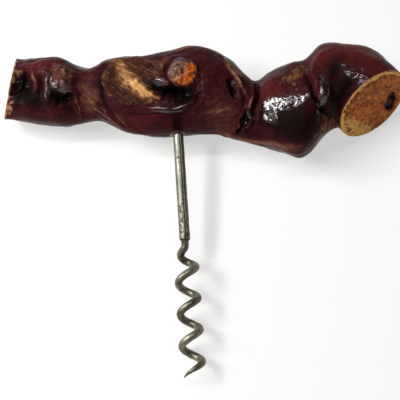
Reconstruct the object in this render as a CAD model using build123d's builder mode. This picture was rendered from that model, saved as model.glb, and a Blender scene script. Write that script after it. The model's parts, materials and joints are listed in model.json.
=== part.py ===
from build123d import *
import os
from collections import namedtuple
from itertools import accumulate
from math import asin, atan2, ceil, cos, degrees, dist, exp, floor, hypot, inf, pi, radians, sin, sqrt

# A direct-pull corkscrew, lying on a table: a gnarled length of vine stock is the cross handle, and a
# steel worm with a sleeved shank is glued into a blind hole in its middle.
# Frame, in millimetres: +X runs along the handle, the worm points towards -Y, and +Z is up from the table.
# The model is drawn with X = Y = 0 where the shank leaves the wood, then moved as one to its final origin,
# which is the middle of the underside of its bounding box.

# Steel wire and worm
WIRE_D = 2.8
WORM_OD = 9.5
WORM_PITCH = 11.4
WORM_TURNS = 4.29
WORM_START_ANGLE = 55.0
LEAD_OUT = 0.8
LEAD_IN_TURNS = 0.70
POINT_TURNS = 0.5
POINT_D = 0.5
POINT_TAPER_POWER = 1.5

# Rolled sleeve round the straight of the wire
SLEEVE_WALL = 0.55
SLEEVE_FIT = 0.05
SLEEVE_SEAM = 0.3
SLEEVE_SEAM_ANGLE = 72.0
SLEEVE_GRIP = 13.0
SHANK_LENGTH = 42.3
SHANK_HEIGHT = 13.0

# Flattened tang, and the glue that holds it in the drilled hole
TANG_LENGTH = 7.0
TANG_THICKNESS = 1.7
TANG_FIT = 0.2
GLUE_FILM = 0.25
GLUE_BELOW_TANG = 1.5
GLUE_BEAD_WIDTH = 1.8
GLUE_BEAD_SEAT = 1.5
GLUE_BEAD_RISE = 0.9
GLUE_BEAD_SLOPE = 32.0

# Vine stock: one row for each station along the handle, from the left sawn end to the right one.
# x, y and z are the middle of the section there. Half width is front to back, half depth up and down.
# Heading turns the section's axis from +X about the upright, and climb lifts it above level.
# Each section has one swelling: its angle (0 at the back, 90 on top, 180 in front) and its share of the radius.
Station = namedtuple("Station", "x y z half_width half_depth heading climb swell_angle swell_share")
VINE_STATIONS = (
    Station(-66.0, 26.0, 12.5, 12.5, 11.0, -9.0, -18.0, 200.0, 0.04),
    Station(-57.0, 23.5, 12.5, 12.8, 11.8, -5.0, -8.0, 40.0, 0.05),
    Station(-46.0, 22.8, 12.5, 14.2, 12.5, 0.0, 0.0, 140.0, 0.04),
    Station(-36.0, 20.5, 12.5, 11.2, 10.4, 0.0, 0.0, 90.0, 0.00),
    Station(-31.0, 20.3, 13.0, 11.4, 10.6, 0.0, 0.0, 90.0, 0.00),
    Station(-26.5, 20.3, 13.5, 13.2, 12.0, 0.0, 0.0, 150.0, 0.05),
    Station(-20.0, 18.8, 14.0, 15.2, 13.0, 0.0, 0.0, 160.0, 0.06),
    Station(-10.0, 17.2, 14.5, 16.6, 13.6, 0.0, 0.0, 165.0, 0.04),
    Station(0.0, 17.2, 14.5, 17.7, 13.8, 0.0, 0.0, 60.0, 0.01),
    Station(8.6, 17.8, 14.5, 18.3, 14.0, 0.0, 0.0, 50.0, 0.02),
    Station(16.8, 16.3, 14.0, 17.6, 13.6, 0.0, 0.0, 120.0, 0.03),
    Station(24.0, 12.0, 13.0, 16.0, 12.6, 0.0, 0.0, 140.0, 0.04),
    Station(31.0, 6.9, 12.5, 13.2, 11.2, 0.0, 0.0, 90.0, 0.00),
    Station(37.0, 6.6, 13.5, 16.0, 13.2, 0.0, 0.0, 120.0, 0.03),
    Station(45.0, 5.9, 15.0, 19.0, 15.0, 0.0, 0.0, 150.0, 0.05),
    Station(50.5, 6.5, 15.5, 18.4, 15.4, -2.0, 2.0, 110.0, 0.02),
    Station(57.0, 12.2, 16.0, 18.4, 15.5, -5.0, 5.0, 60.0, 0.03),
    Station(64.0, 13.8, 16.5, 17.0, 15.6, -16.0, 6.0, 60.0, 0.02),
    Station(71.3, 11.2, 16.5, 16.3, 15.6, -40.0, 10.0, 90.0, 0.00),
    Station(75.8, 4.6, 16.5, 15.3, 15.2, -63.0, 15.0, 90.0, 0.00),
)
SWELL_SPREAD = 45.0

# Relief of the stock's skin, drawn on the skin as if it were unrolled. Along is millimetres from the left sawn
# end. Around is degrees as for a swelling, from -90 underneath to 270, and SKIN_DEGREE is the length of one.
# An oval rises, or sinks where its height is below zero, about its middle. A ridge or groove follows a line.
SKIN_DEGREE = 0.25
Oval = namedtuple("Oval", "height along around half_length half_width turn")
Ridge = namedtuple("Ridge", "height half_width line")
SCAR = Oval(-1.5, 52.0, 96.0, 12.6, 7.9, 33.0)
BURL = Oval(2.0, 23.0, 86.0, 5.2, 5.4, 0.0)
HOLLOWS = (
    Oval(-3.4, 5.6, 109.0, 4.4, 5.4, 0.0),
    Oval(-3.2, 24.0, 126.0, 4.0, 2.6, -20.0),
    Oval(-2.6, 70.4, 115.0, 4.8, 3.0, 5.0),
    Oval(-2.4, 90.2, 97.0, 1.7, 2.7, 0.0),
    Oval(-3.0, 95.2, 135.0, 5.2, 1.8, 118.0),
    Oval(-2.0, 30.0, -50.0, 3.0, 2.2, 20.0),
    Oval(-2.2, 76.0, -25.0, 3.4, 2.4, -30.0),
    Oval(-2.4, 112.0, 240.0, 3.2, 2.4, 15.0),
    Oval(-1.8, 60.0, 250.0, 2.4, 3.0, 0.0),
)
RIDGES = (
    Ridge(0.9, 1.3, ((9.8, 70), (11.4, 90), (12.2, 112), (13, 130))),
    Ridge(1.5, 1.4, ((15.2, 74), (16.8, 92), (18.2, 110), (17.8, 130), (16, 142))),
    Ridge(0.6, 1.2, ((29.5, 100), (34, 130), (39, 152), (46, 178))),
    Ridge(1.0, 1.3, ((38.5, 130), (41.5, 147), (47, 165), (56, 192))),
    Ridge(1.2, 1.8, ((47, 47), (43.5, 60), (41.3, 80), (40.3, 100), (41.3, 118), (44.5, 129), (50, 135))),
    Ridge(1.5, 1.9, ((45, 130), (51, 135.5), (58, 136.5), (64, 136), (70, 136), (78, 129))),
    Ridge(1.8, 1.3, ((56.5, 92), (61, 96.5), (64.5, 102), (67, 108))),
    Ridge(0.9, 1.3, ((86, 40), (88.5, 62), (93, 78), (96, 92))),
    Ridge(1.2, 1.2, ((101, 40), (100, 70), (98.5, 95), (97, 118), (95.5, 135))),
    Ridge(1.4, 1.6, ((122.8, 62), (124.4, 92), (128.7, 114), (133.2, 132), (136, 148))),
    Ridge(1.2, 2.6, ((126.8, 108), (128.2, 115), (129.4, 122))),
    Ridge(0.7, 1.4, ((20, 215), (32, 250), (44, 262))),
    Ridge(0.8, 1.4, ((55, 10), (70, -20), (84, -50))),
    Ridge(0.9, 1.5, ((60, 230), (74, 255), (90, 262))),
    Ridge(0.8, 1.3, ((104, 215), (112, 245), (122, 262))),
    Ridge(0.7, 1.3, ((104, 0), (116, -30), (128, -55))),
    Ridge(0.7, 1.3, ((10, 20), (20, -10), (34, -40))),
)
GROOVES = (
    Ridge(-1.2, 1.2, ((13.6, 84), (14.4, 102), (14.2, 124))),
    Ridge(-1.8, 1.3, ((40.6, 62), (38.6, 80), (37.8, 100), (38.6, 122), (41, 145), (47, 172), (55, 200))),
    Ridge(-1.0, 1.2, ((45, 136), (51, 142), (57, 143), (63, 142), (69, 142), (74, 140))),
    Ridge(-2.6, 1.7, ((57, 104), (62, 108), (66, 113), (70, 117), (74.5, 115), (77, 107))),
    Ridge(-1.3, 1.2, ((102.3, 25), (101.8, 60), (101, 95), (99, 125), (98, 150))),
    Ridge(-2.0, 1.3, ((119.4, 46), (120.4, 62), (121.3, 82), (122.6, 103), (126, 124), (131, 144), (133, 155))),
    Ridge(-1.3, 3.4, ((130, 62), (132, 80), (134.5, 96), (137.5, 116), (140, 134))),
    Ridge(-1.0, 1.3, ((101, 225), (99, 262))),
    Ridge(-1.0, 1.3, ((40, 10), (38, -30), (41, -60))),
    Ridge(-1.0, 1.3, ((101, 10), (103, -30), (100, -65))),
)

# The pith hole in the sawn right end, and the stub of a twig
PITH_D = 5.2
PITH_DEPTH = 8.0
PITH_ASIDE = 8.8
PITH_UP = -4.5
STUB_PLACE = (3.5, 17.6, 28.3)
STUB_AXIS = (0.05, -0.35, 0.94)
STUB_D = 11.6
STUB_RISE = 2.3
STUB_ROUND = 3.0

# Fineness of the curves: ruled steps between stations, points round a section, arcs and rings of the wire
STATION_STEPS = 6
SECTION_POINTS = 60
ARC_PAIR_TURNS = 0.25
POINT_STEPS = 14
GAP_SAMPLES = 400

# Fits, from the wire outward
sleeve_id = WIRE_D + 2 * SLEEVE_FIT
sleeve_od = sleeve_id + 2 * SLEEVE_WALL
hole_d = sleeve_od + 2 * GLUE_FILM
tang_width = hole_d - 2 * TANG_FIT
tang_end = SLEEVE_GRIP + TANG_LENGTH
hole_depth = tang_end + GLUE_BELOW_TANG

# The worm's axis droops from the wood until the last whole turn of the worm lies on the table
worm_start = SHANK_LENGTH + LEAD_OUT
coil_radius = (WORM_OD - WIRE_D) / 2
full_turns = WORM_TURNS - POINT_TURNS
first_low_turn = (270 - WORM_START_ANGLE) / 360
low_turn = first_low_turn + floor(full_turns - first_low_turn)
rest_reach = worm_start + low_turn * WORM_PITCH
droop = asin(SHANK_HEIGHT / hypot(rest_reach, WORM_OD / 2)) - atan2(WORM_OD / 2, rest_reach)
worm_axis = Vector(0, -cos(droop), -sin(droop))
worm_plane = Plane(origin=(0, 0, SHANK_HEIGHT), x_dir=(1, 0, 0), z_dir=worm_axis)


def vine_plane(station):
    """The plane of a section of the stock: its x runs front to back, its y upward."""
    turn = radians(station.heading)
    rise = radians(station.climb)
    along = (cos(turn) * cos(rise), sin(turn) * cos(rise), sin(rise))
    return Plane(origin=(station.x, station.y, station.z), x_dir=(-sin(turn), cos(turn), 0), z_dir=along)


def oval_relief(oval, along, around):
    """A swell or dish that fades out by the distance from its middle as a share of its size."""
    far_along = along - oval.along
    far_round = (around - oval.around) * SKIN_DEGREE
    turn = radians(oval.turn)
    lengthways = (far_along * cos(turn) + far_round * sin(turn)) / oval.half_length
    crossways = (far_round * cos(turn) - far_along * sin(turn)) / oval.half_width
    return oval.height * exp(-(hypot(lengthways, crossways) ** 3))


def ridge_relief(ridge, along, around):
    """A rounded ridge or groove, full in the middle of its line and fading out at the line's two ends."""
    place = (along, around * SKIN_DEGREE)
    line = [(point_along, point_around * SKIN_DEGREE) for point_along, point_around in ridge.line]
    gone, nearest, share = 0.0, inf, 0.0
    for start, end in zip(line, line[1:]):
        length = dist(start, end)
        way = ((end[0] - start[0]) / length, (end[1] - start[1]) / length)
        reach = (place[0] - start[0]) * way[0] + (place[1] - start[1]) * way[1]
        reach = min(max(reach, 0.0), length)
        gap = dist(place, (start[0] + way[0] * reach, start[1] + way[1] * reach))
        if gap < nearest:
            nearest = gap
            share = gone + reach
        gone += length
    return ridge.height * sqrt(sin(pi * min(share / gone, 1.0))) * exp(-((nearest / ridge.half_width) ** 2))


def skin_relief(along, around):
    """How far the skin stands out from the plain section at a place on the drawing."""
    ovals = sum(oval_relief(oval, along, around) for oval in (SCAR, BURL, *HOLLOWS))
    return ovals + sum(ridge_relief(ridge, along, around) for ridge in (*RIDGES, *GROOVES))


def vine_section(station, along):
    """Points round a section, from underneath: an oval with one rounded swelling, and the skin's relief on it."""
    points = []
    for step in range(SECTION_POINTS):
        around = step * 360 / SECTION_POINTS - 90
        away = (around - station.swell_angle + 180) % 360 - 180
        swell = 1 + station.swell_share * exp(-((away / SWELL_SPREAD) ** 2))
        across, upward = cos(radians(around)), sin(radians(around))
        lift = skin_relief(along, around) / hypot(station.half_depth * across, station.half_width * upward)
        points.append(((station.half_width * swell + lift * station.half_depth) * across,
                       (station.half_depth * swell + lift * station.half_width) * upward))
    return points


def smooth_stations():
    """The given stations with others between them, each number on a cubic through its four neighbours."""
    rows = [VINE_STATIONS[0], *VINE_STATIONS, VINE_STATIONS[-1]]
    stations = []
    for before, start, end, after in zip(rows, rows[1:], rows[2:], rows[3:]):
        for step in range(STATION_STEPS):
            s = step / STATION_STEPS
            stations.append(Station(*(
                b + s * (c - a) / 2 + s ** 2 * (a - 2.5 * b + 2 * c - d / 2) + s ** 3 * (3 * (b - c) + d - a) / 2
                for a, b, c, d in zip(before, start, end, after))))
    return stations + [VINE_STATIONS[-1]]


def standing_plane(place, along, outward):
    """A plane that holds the outward direction as its y, with its x as near to along as it can be."""
    base = Plane(origin=place, x_dir=along, z_dir=outward)
    return Plane(origin=place, x_dir=base.x_dir, z_dir=-base.y_dir)


def worm_radius(turn):
    """How far the wire's middle line stands from the axis: it opens out smoothly over the lead-in."""
    opened = min(turn / LEAD_IN_TURNS, 1.0)
    return coil_radius * opened * opened * (3 - 2 * opened)


def worm_spread(turn):
    """How fast that radius grows, for each turn."""
    opened = min(turn / LEAD_IN_TURNS, 1.0)
    return coil_radius * 6 * opened * (1 - opened) / LEAD_IN_TURNS


def worm_away(turn):
    """The direction from the axis to the wire, and the one a quarter turn ahead of it."""
    angle = radians(WORM_START_ANGLE + 360 * turn)
    away = worm_plane.x_dir * cos(angle) + worm_plane.y_dir * sin(angle)
    return away, worm_axis.cross(away)


def worm_point(turn):
    """A point of the wire's middle line: a right-handed helix about the shank's axis."""
    away, _ = worm_away(turn)
    return worm_plane.origin + worm_axis * (worm_start + turn * WORM_PITCH) + away * worm_radius(turn)


def worm_heading(turn):
    """The direction in which the wire runs at a turn."""
    away, round_axis = worm_away(turn)
    return (worm_axis * WORM_PITCH + away * worm_spread(turn) + round_axis * 2 * pi * worm_radius(turn)).normalized()


def wire_plane(turn):
    """The plane square to the wire at a turn."""
    return Plane(origin=worm_point(turn), x_dir=worm_away(turn)[0], z_dir=worm_heading(turn))


def arc_joint(start, start_way, end, end_way):
    """The point where two tangent arcs meet that carry one end's direction into the other's."""
    chord = end - start
    along = chord.dot(start_way + end_way)
    bend = 2 * (1 - start_way.dot(end_way))
    reach = (sqrt(along * along + bend * chord.dot(chord)) - along) / bend
    return (start + start_way * reach + end - end_way * reach) / 2


def least_coil_gap():
    """The least clear distance between parts of the coil that are half a turn or more apart."""
    points = [worm_point(WORM_TURNS * step / GAP_SAMPLES) for step in range(GAP_SAMPLES + 1)]
    apart = ceil(GAP_SAMPLES / WORM_TURNS / 2)
    nearest = min((points[i] - points[j]).length for i in range(GAP_SAMPLES) for j in range(i + apart, GAP_SAMPLES))
    return nearest - WIRE_D


# Vine handle: a loft through the stations, from sawn end to sawn end, then the twig stub, the pith hole and
# the drilled hole for the shank
sawn_plane = vine_plane(VINE_STATIONS[-1])
stub_plane = standing_plane(STUB_PLACE, (1, 0, 0), STUB_AXIS)
stub_axis = Axis(STUB_PLACE, stub_plane.y_dir)
stations = smooth_stations()
steps = [dist(before[:3], after[:3]) for before, after in zip(stations, stations[1:])]
lengths = [0.0, *accumulate(steps)]
with BuildPart() as vine_handle:
    for station, along in zip(stations, lengths):
        with BuildSketch(vine_plane(station)):
            with BuildLine():
                Spline(*vine_section(station, along), periodic=True)
            make_face()
    loft(ruled=True)
    with BuildSketch(stub_plane) as stub_profile:
        with Locations((0, STUB_RISE)):
            Rectangle(STUB_D / 2, STUB_D / 2 + STUB_RISE, align=(Align.MIN, Align.MAX))
        fillet(stub_profile.vertices().sort_by(stub_axis)[-2:].sort_by(Axis.X)[-1], STUB_ROUND)
    revolve(axis=stub_axis)
    with BuildSketch(sawn_plane):
        with Locations((PITH_ASIDE, PITH_UP)):
            Circle(PITH_D / 2)
    extrude(amount=-PITH_DEPTH, mode=Mode.SUBTRACT)
    with BuildSketch(worm_plane.offset(hole_d)):
        Circle(hole_d / 2)
    extrude(amount=-(hole_d + hole_depth), mode=Mode.SUBTRACT)

# Worm: the flattened tang, the straight of the wire, the coil on pairs of arcs, and the tapered point
coil_steps = ceil(full_turns / ARC_PAIR_TURNS)
coil_turns = [full_turns * step / coil_steps for step in range(coil_steps + 1)]
with BuildPart() as worm:
    with BuildSketch(worm_plane.offset(-tang_end)):
        SlotOverall(tang_width, TANG_THICKNESS)
    extrude(amount=TANG_LENGTH)
    with BuildSketch(worm_plane.offset(-SLEEVE_GRIP)):
        Circle(WIRE_D / 2)
    extrude(amount=SLEEVE_GRIP + worm_start)
    with BuildLine() as coil_line:
        for before, after in zip(coil_turns, coil_turns[1:]):
            joint = arc_joint(worm_point(before), worm_heading(before), worm_point(after), worm_heading(after))
            first_arc = TangentArc(worm_point(before), joint, tangent=worm_heading(before))
            TangentArc(joint, worm_point(after), tangent=first_arc % 1)
    with BuildSketch(wire_plane(0)):
        Circle(WIRE_D / 2)
    sweep(path=coil_line.line)
    for step in range(POINT_STEPS):
        for share in (step / POINT_STEPS, (step + 1) / POINT_STEPS):
            with BuildSketch(wire_plane(full_turns + POINT_TURNS * share)):
                Circle((WIRE_D + (POINT_D - WIRE_D) * share ** POINT_TAPER_POWER) / 2)
        loft()

# Shank sleeve: a strip rolled round the wire, with an open seam along it
with BuildPart() as shank_sleeve:
    with BuildSketch(worm_plane.offset(-SLEEVE_GRIP)):
        Circle(sleeve_od / 2)
        Circle(sleeve_id / 2, mode=Mode.SUBTRACT)
        with PolarLocations(sleeve_od / 2, 1, SLEEVE_SEAM_ANGLE):
            Rectangle(sleeve_od, SLEEVE_SEAM, mode=Mode.SUBTRACT)
    extrude(amount=SLEEVE_GRIP + SHANK_LENGTH)

# Set glue: it fills the drilled hole round the sleeve and the tang, and stands out as a bead at the mouth
with BuildPart() as set_glue:
    with BuildSketch(worm_plane.offset(-hole_depth)):
        Circle(hole_d / 2)
    extrude(amount=hole_depth)
    with BuildSketch(worm_plane.offset(-GLUE_BEAD_SEAT)):
        Circle(sleeve_od / 2 + GLUE_BEAD_WIDTH)
    extrude(amount=GLUE_BEAD_SEAT + GLUE_BEAD_RISE, taper=GLUE_BEAD_SLOPE)
    with BuildSketch(worm_plane.offset(-SLEEVE_GRIP)):
        Circle(sleeve_od / 2)
    extrude(amount=SLEEVE_GRIP + SHANK_LENGTH, mode=Mode.SUBTRACT)
    with BuildSketch(worm_plane.offset(-tang_end)):
        SlotOverall(tang_width, TANG_THICKNESS)
    extrude(amount=TANG_LENGTH, mode=Mode.SUBTRACT)
    add(vine_handle.part, mode=Mode.SUBTRACT)

# Move everything to the final origin, and write one file for each piece
pieces = {"vine_handle": vine_handle, "worm": worm, "shank_sleeve": shank_sleeve, "set_glue": set_glue}
boxes = [piece.part.bounding_box() for piece in pieces.values()]
low_corner = Vector(*(min(getattr(box.min, axis) for box in boxes) for axis in "XYZ"))
high_corner = Vector(*(max(getattr(box.max, axis) for box in boxes) for axis in "XYZ"))
middle = (low_corner + high_corner) / 2
shift = Vector(-middle.X, -middle.Y, -low_corner.Z)
os.makedirs("parts", exist_ok=True)
for name, piece in pieces.items():
    placed = piece.part.moved(Location(shift))
    placed.label = name
    export_step(placed, "parts/" + name + ".step")
    print(name, "volume", round(placed.volume, 1), "solids", len(placed.solids()), "valid", placed.is_valid)

# Places that other parts can be measured from, in the final frame
sawn_left_plane = vine_plane(VINE_STATIONS[0])
print("overall size", (high_corner - low_corner), "shift", shift)
print("worm droops by", round(degrees(droop), 2), "degrees, least gap in the coil", round(least_coil_gap(), 2))
print("sawn right end", sawn_plane.origin + shift, "facing", sawn_plane.z_dir)
print("sawn left end", sawn_left_plane.origin + shift, "facing", -sawn_left_plane.z_dir)
print("pith hole mouth", sawn_plane.from_local_coords(Vector(PITH_ASIDE, PITH_UP)) + shift)
print("shank leaves the wood", worm_plane.origin + shift, "along", worm_axis)
print("worm point", worm_point(WORM_TURNS) + shift, "heading", worm_heading(WORM_TURNS))
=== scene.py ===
# %% [markdown]
# A corkscrew with a handle of vine stock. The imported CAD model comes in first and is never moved: it gives
# the place of the sawn right end and the direction of the shank, and every measure starts from those two.
# Each visible piece is then a surface worked out with numpy. Lengths are in millimetres, because a small
# hand tool is easiest to think of that way, and are turned into metres once, when a mesh is made.

# %% Load the frame
import json
import bpy
import numpy as np
from mathutils import Matrix


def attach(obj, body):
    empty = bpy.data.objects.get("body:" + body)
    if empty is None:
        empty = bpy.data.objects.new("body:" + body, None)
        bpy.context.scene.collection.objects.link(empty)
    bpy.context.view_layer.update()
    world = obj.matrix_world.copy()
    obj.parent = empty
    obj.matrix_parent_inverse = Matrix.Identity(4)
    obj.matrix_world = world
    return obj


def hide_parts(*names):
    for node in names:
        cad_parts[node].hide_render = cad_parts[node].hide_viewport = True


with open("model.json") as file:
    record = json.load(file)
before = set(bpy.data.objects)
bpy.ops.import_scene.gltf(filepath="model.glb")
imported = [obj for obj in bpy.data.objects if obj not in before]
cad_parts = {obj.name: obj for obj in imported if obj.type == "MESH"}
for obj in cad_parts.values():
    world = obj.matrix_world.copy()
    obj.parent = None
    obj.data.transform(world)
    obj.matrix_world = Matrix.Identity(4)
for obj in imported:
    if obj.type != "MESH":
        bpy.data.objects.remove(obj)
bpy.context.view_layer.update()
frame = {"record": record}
MM = 0.001
mounts = {mount["name"]: mount for mount in frame["record"]["mounts"]}

# %% [markdown]
# The camera comes before the pieces. It stands on the worm's side and looks down steeply, rolled a little,
# because the handle slopes in the picture. Its three directions and its place are written as the columns of
# a matrix, and the lamps are placed like that too.

# %% Camera
VIEW_ELEVATION = 68.0
VIEW_ROLL = -4.05
VIEW_DISTANCE = 290.0
VIEW_TARGET = np.array((-3.16, 1.84, 5.0))
MM_PER_PIXEL = 0.385
PICTURE_PIXELS = 400
SENSOR_WIDTH = 36.0
NEAREST_SEEN = 0.01


def linked(name, data):
    """A new object in the scene, at the origin and unturned."""
    item = bpy.data.objects.new(name, data)
    bpy.context.scene.collection.objects.link(item)
    return item


def standing(right, up, back, place):
    """The matrix whose columns are three directions and a place."""
    matrix = np.eye(4)
    matrix[:3] = np.stack((right, up, back, place), axis=1)
    return Matrix(matrix.tolist())


def photo_camera():
    """Right, up and back directions from the elevation, then right and up turned by the roll."""
    lift, roll = np.radians((VIEW_ELEVATION, VIEW_ROLL))
    right = np.array((1.0, 0.0, 0.0))
    up = np.array((0.0, np.sin(lift), np.cos(lift)))
    back = np.array((0.0, -np.cos(lift), np.sin(lift)))
    rolled_right = np.cos(roll) * right + np.sin(roll) * up
    rolled_up = np.cos(roll) * up - np.sin(roll) * right
    lens = bpy.data.cameras.new("photo_camera")
    lens.sensor_width = SENSOR_WIDTH
    lens.lens = SENSOR_WIDTH * VIEW_DISTANCE / (MM_PER_PIXEL * PICTURE_PIXELS)
    lens.clip_start = NEAREST_SEEN
    camera = linked("photo_camera", lens)
    camera.matrix_world = standing(rolled_right, rolled_up, back, (VIEW_TARGET + VIEW_DISTANCE * back) * MM)
    bpy.context.scene.camera = camera
    return camera


camera = photo_camera()
print("camera at", np.round(camera.matrix_world.translation, 3).tolist(), "lens", round(camera.data.lens, 1))

# %% [markdown]
# Every piece below is a grid of points: rings along it and places round each ring. One function turns such
# an array into a mesh of four-sided faces, closes an end with a fan where it is asked to, and can store
# numbers at the points, which the finishes read later as attributes.


# %% Grid of points to mesh
def grid_piece(name, points, close_start=False, close_end=False, flip=False, **numbers):
    """Joins each point to the next place and the next ring; a closed end gets a fan from its ring's middle.
    Numbers that are the same all round a ring may come as a column."""
    rings, places = points.shape[:2]
    index = np.arange(rings * places).reshape(rings, places)
    after = np.roll(index, -1, axis=1)
    faces = np.stack((index[:-1], index[1:], after[1:], after[:-1]), axis=-1).reshape(-1, 4)
    if flip:
        faces = faces[:, ::-1]
    faces = faces.tolist()
    vertices = points.reshape(-1, 3)
    kept = {}
    for key, value in numbers.items():
        kept[key] = np.broadcast_to(value, (rings, places, *value.shape[2:])).reshape(rings * places, -1)
    for wanted, ring, turned in ((close_start, 0, flip), (close_end, rings - 1, not flip)):
        if wanted:
            middle = np.full(places, len(vertices))
            fan = np.stack((middle, index[ring], after[ring]), axis=-1)
            faces += (fan[:, ::-1] if turned else fan).tolist()
            vertices = np.vstack((vertices, points[ring].mean(axis=0)))
            for key, value in kept.items():
                kept[key] = np.vstack((value, value[index[ring]].mean(axis=0)))
    mesh = bpy.data.meshes.new(name)
    mesh.from_pydata((vertices * MM).tolist(), [], faces, shade_flat=False)
    for key, value in kept.items():
        kind, field = ("FLOAT", "value") if value.shape[1] == 1 else ("FLOAT_VECTOR", "vector")
        mesh.attributes.new(key, kind, "POINT").data.foreach_set(field, value.astype(np.float32).ravel())
    piece = linked(name, mesh)
    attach(piece, "root")
    triangles = sum(len(polygon.vertices) - 2 for polygon in mesh.polygons)
    print(name, "has", len(mesh.vertices), "points and", triangles, "triangles")
    return piece


# %% [markdown]
# Wood is never smooth or regular, so most shapes below are stirred with lumps. The lumps are the sum of
# many waves that run in random directions: quick to work out for a whole array of points, and the same on
# every run because the random numbers start from a given seed.

# %% Lumps
WAVES = 30
SHORTEST_WAVE, LONGEST_WAVE = 0.7, 1.5


def lumps(points, size, seed):
    """Sum of waves with random directions and phases and lengths near the size, scaled to a spread of 1."""
    rng = np.random.default_rng(seed)
    ways = rng.normal(size=(WAVES, 3))
    ways /= np.linalg.norm(ways, axis=1, keepdims=True)
    lengths = size * rng.uniform(SHORTEST_WAVE, LONGEST_WAVE, WAVES)
    phases = rng.uniform(0, 2 * np.pi, WAVES)
    angles = points @ (2 * np.pi * ways / lengths[:, None]).T + phases
    return np.cos(angles).sum(axis=-1) * np.sqrt(2 / WAVES)


def layered(points, layers):
    """The sum of several lumps, each given by its height, size and seed."""
    return sum(height * lumps(points, size, seed) for height, size, seed in layers)


# %% [markdown]
# The vine stock itself. Its rough form is an oval that changes along a bent middle line, the same stations
# that the CAD solid is lofted through. A smooth curve through the stations gives as many rings as are
# wanted, without the flat strips that the solid has. Points are packed closer on top, where the old wounds
# and knots are.

# %% Rough form of the vine stock
# One row for each station: x, y, z of the middle, half width, half depth, heading, climb, and the angle and
# the share of a swelling
STATIONS = np.array((
    (-66.0, 26.0, 12.5, 12.5, 11.0, -9.0, -18.0, 200.0, 0.04),
    (-57.0, 23.5, 12.5, 12.8, 11.8, -5.0, -8.0, 40.0, 0.05),
    (-46.0, 22.8, 12.5, 14.2, 12.5, 0.0, 0.0, 140.0, 0.04),
    (-36.0, 20.5, 12.5, 11.2, 10.4, 0.0, 0.0, 90.0, 0.00),
    (-31.0, 20.3, 13.0, 11.4, 10.6, 0.0, 0.0, 90.0, 0.00),
    (-26.5, 20.3, 13.5, 13.2, 12.0, 0.0, 0.0, 150.0, 0.05),
    (-20.0, 18.8, 14.0, 15.2, 13.0, 0.0, 0.0, 160.0, 0.06),
    (-10.0, 17.2, 14.5, 16.6, 13.6, 0.0, 0.0, 165.0, 0.04),
    (0.0, 17.2, 14.5, 17.7, 13.8, 0.0, 0.0, 60.0, 0.01),
    (8.6, 17.8, 14.5, 18.3, 14.0, 0.0, 0.0, 50.0, 0.02),
    (16.8, 16.3, 14.0, 17.6, 13.6, 0.0, 0.0, 120.0, 0.03),
    (24.0, 12.0, 13.0, 16.0, 12.6, 0.0, 0.0, 140.0, 0.04),
    (31.0, 6.9, 12.5, 13.2, 11.2, 0.0, 0.0, 90.0, 0.00),
    (37.0, 6.6, 13.5, 16.0, 13.2, 0.0, 0.0, 120.0, 0.03),
    (45.0, 5.9, 15.0, 19.0, 15.0, 0.0, 0.0, 150.0, 0.05),
    (50.5, 6.5, 15.5, 18.4, 15.4, -2.0, 2.0, 110.0, 0.02),
    (57.0, 12.2, 16.0, 18.4, 15.5, -5.0, 5.0, 60.0, 0.03),
    (64.0, 13.8, 16.5, 17.0, 15.6, -16.0, 6.0, 60.0, 0.02),
    (71.3, 11.2, 16.5, 16.3, 15.6, -40.0, 10.0, 90.0, 0.00),
    (75.8, 4.6, 16.5, 15.3, 15.2, -63.0, 15.0, 90.0, 0.00),
))
MIDDLE = slice(0, 3)
HALF_WIDTH, HALF_DEPTH, HEADING, CLIMB, SWELL_AT, SWELL_SHARE = range(3, 9)
SWELL_SPREAD = 45.0
RINGS = 400
PLACES = 240
CROWDING = 18.0
CROWDED_AT = 105.0
FINE_STEPS = 4000
# The stations are drawn with the shank's mouth at x = y = 0. The sawn right end says how far that has moved.
drawing_shift = np.array(mounts["right_sawn_end"]["pos_m"]) / MM - STATIONS[-1, MIDDLE]


def stations_at(number):
    """A cubic through the four nearest stations, for each number of a station, whole or between two."""
    rows = np.vstack((STATIONS[:1], STATIONS, STATIONS[-1:]))
    whole = np.clip(number.astype(int), 0, len(STATIONS) - 2)
    s = (number - whole)[:, None]
    a, b, c, d = rows[whole], rows[whole + 1], rows[whole + 2], rows[whole + 3]
    return b + s * (c - a) / 2 + s ** 2 * (a - 2.5 * b + 2 * c - d / 2) + s ** 3 * (3 * (b - c) + d - a) / 2


def even_rings():
    """Station rows at even steps of length along the middle line, and those lengths."""
    number = np.linspace(0, len(STATIONS) - 1, FINE_STEPS)
    steps = np.linalg.norm(np.diff(stations_at(number)[:, MIDDLE], axis=0), axis=1)
    gone = np.concatenate(((0,), np.cumsum(steps)))
    lengths = np.linspace(0, gone[-1], RINGS)
    return stations_at(np.interp(lengths, gone, number)), lengths


def ring_directions(rows):
    """Each ring's back, up and along directions, from its heading and climb."""
    heading, climb = np.radians(rows[:, HEADING]), np.radians(rows[:, CLIMB])
    level = np.cos(climb)
    ahead = np.stack((np.cos(heading) * level, np.sin(heading) * level, np.sin(climb)), axis=1)
    back = np.stack((-np.sin(heading), np.cos(heading), 0 * heading), axis=1)
    return back, np.cross(ahead, back), ahead


def rough_stock(rows, around):
    """An oval with one rounded swelling in each ring's plane."""
    back, up, _ = ring_directions(rows)
    away = (around[None] - rows[:, SWELL_AT, None] + 180) % 360 - 180
    swell = 1 + rows[:, SWELL_SHARE, None] * np.exp(-(away / SWELL_SPREAD) ** 2)
    wide = rows[:, HALF_WIDTH, None] * swell * np.cos(np.radians(around))
    deep = rows[:, HALF_DEPTH, None] * swell * np.sin(np.radians(around))
    middle = rows[:, None, MIDDLE] + drawing_shift
    return middle + wide[..., None] * back[:, None] + deep[..., None] * up[:, None]


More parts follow.
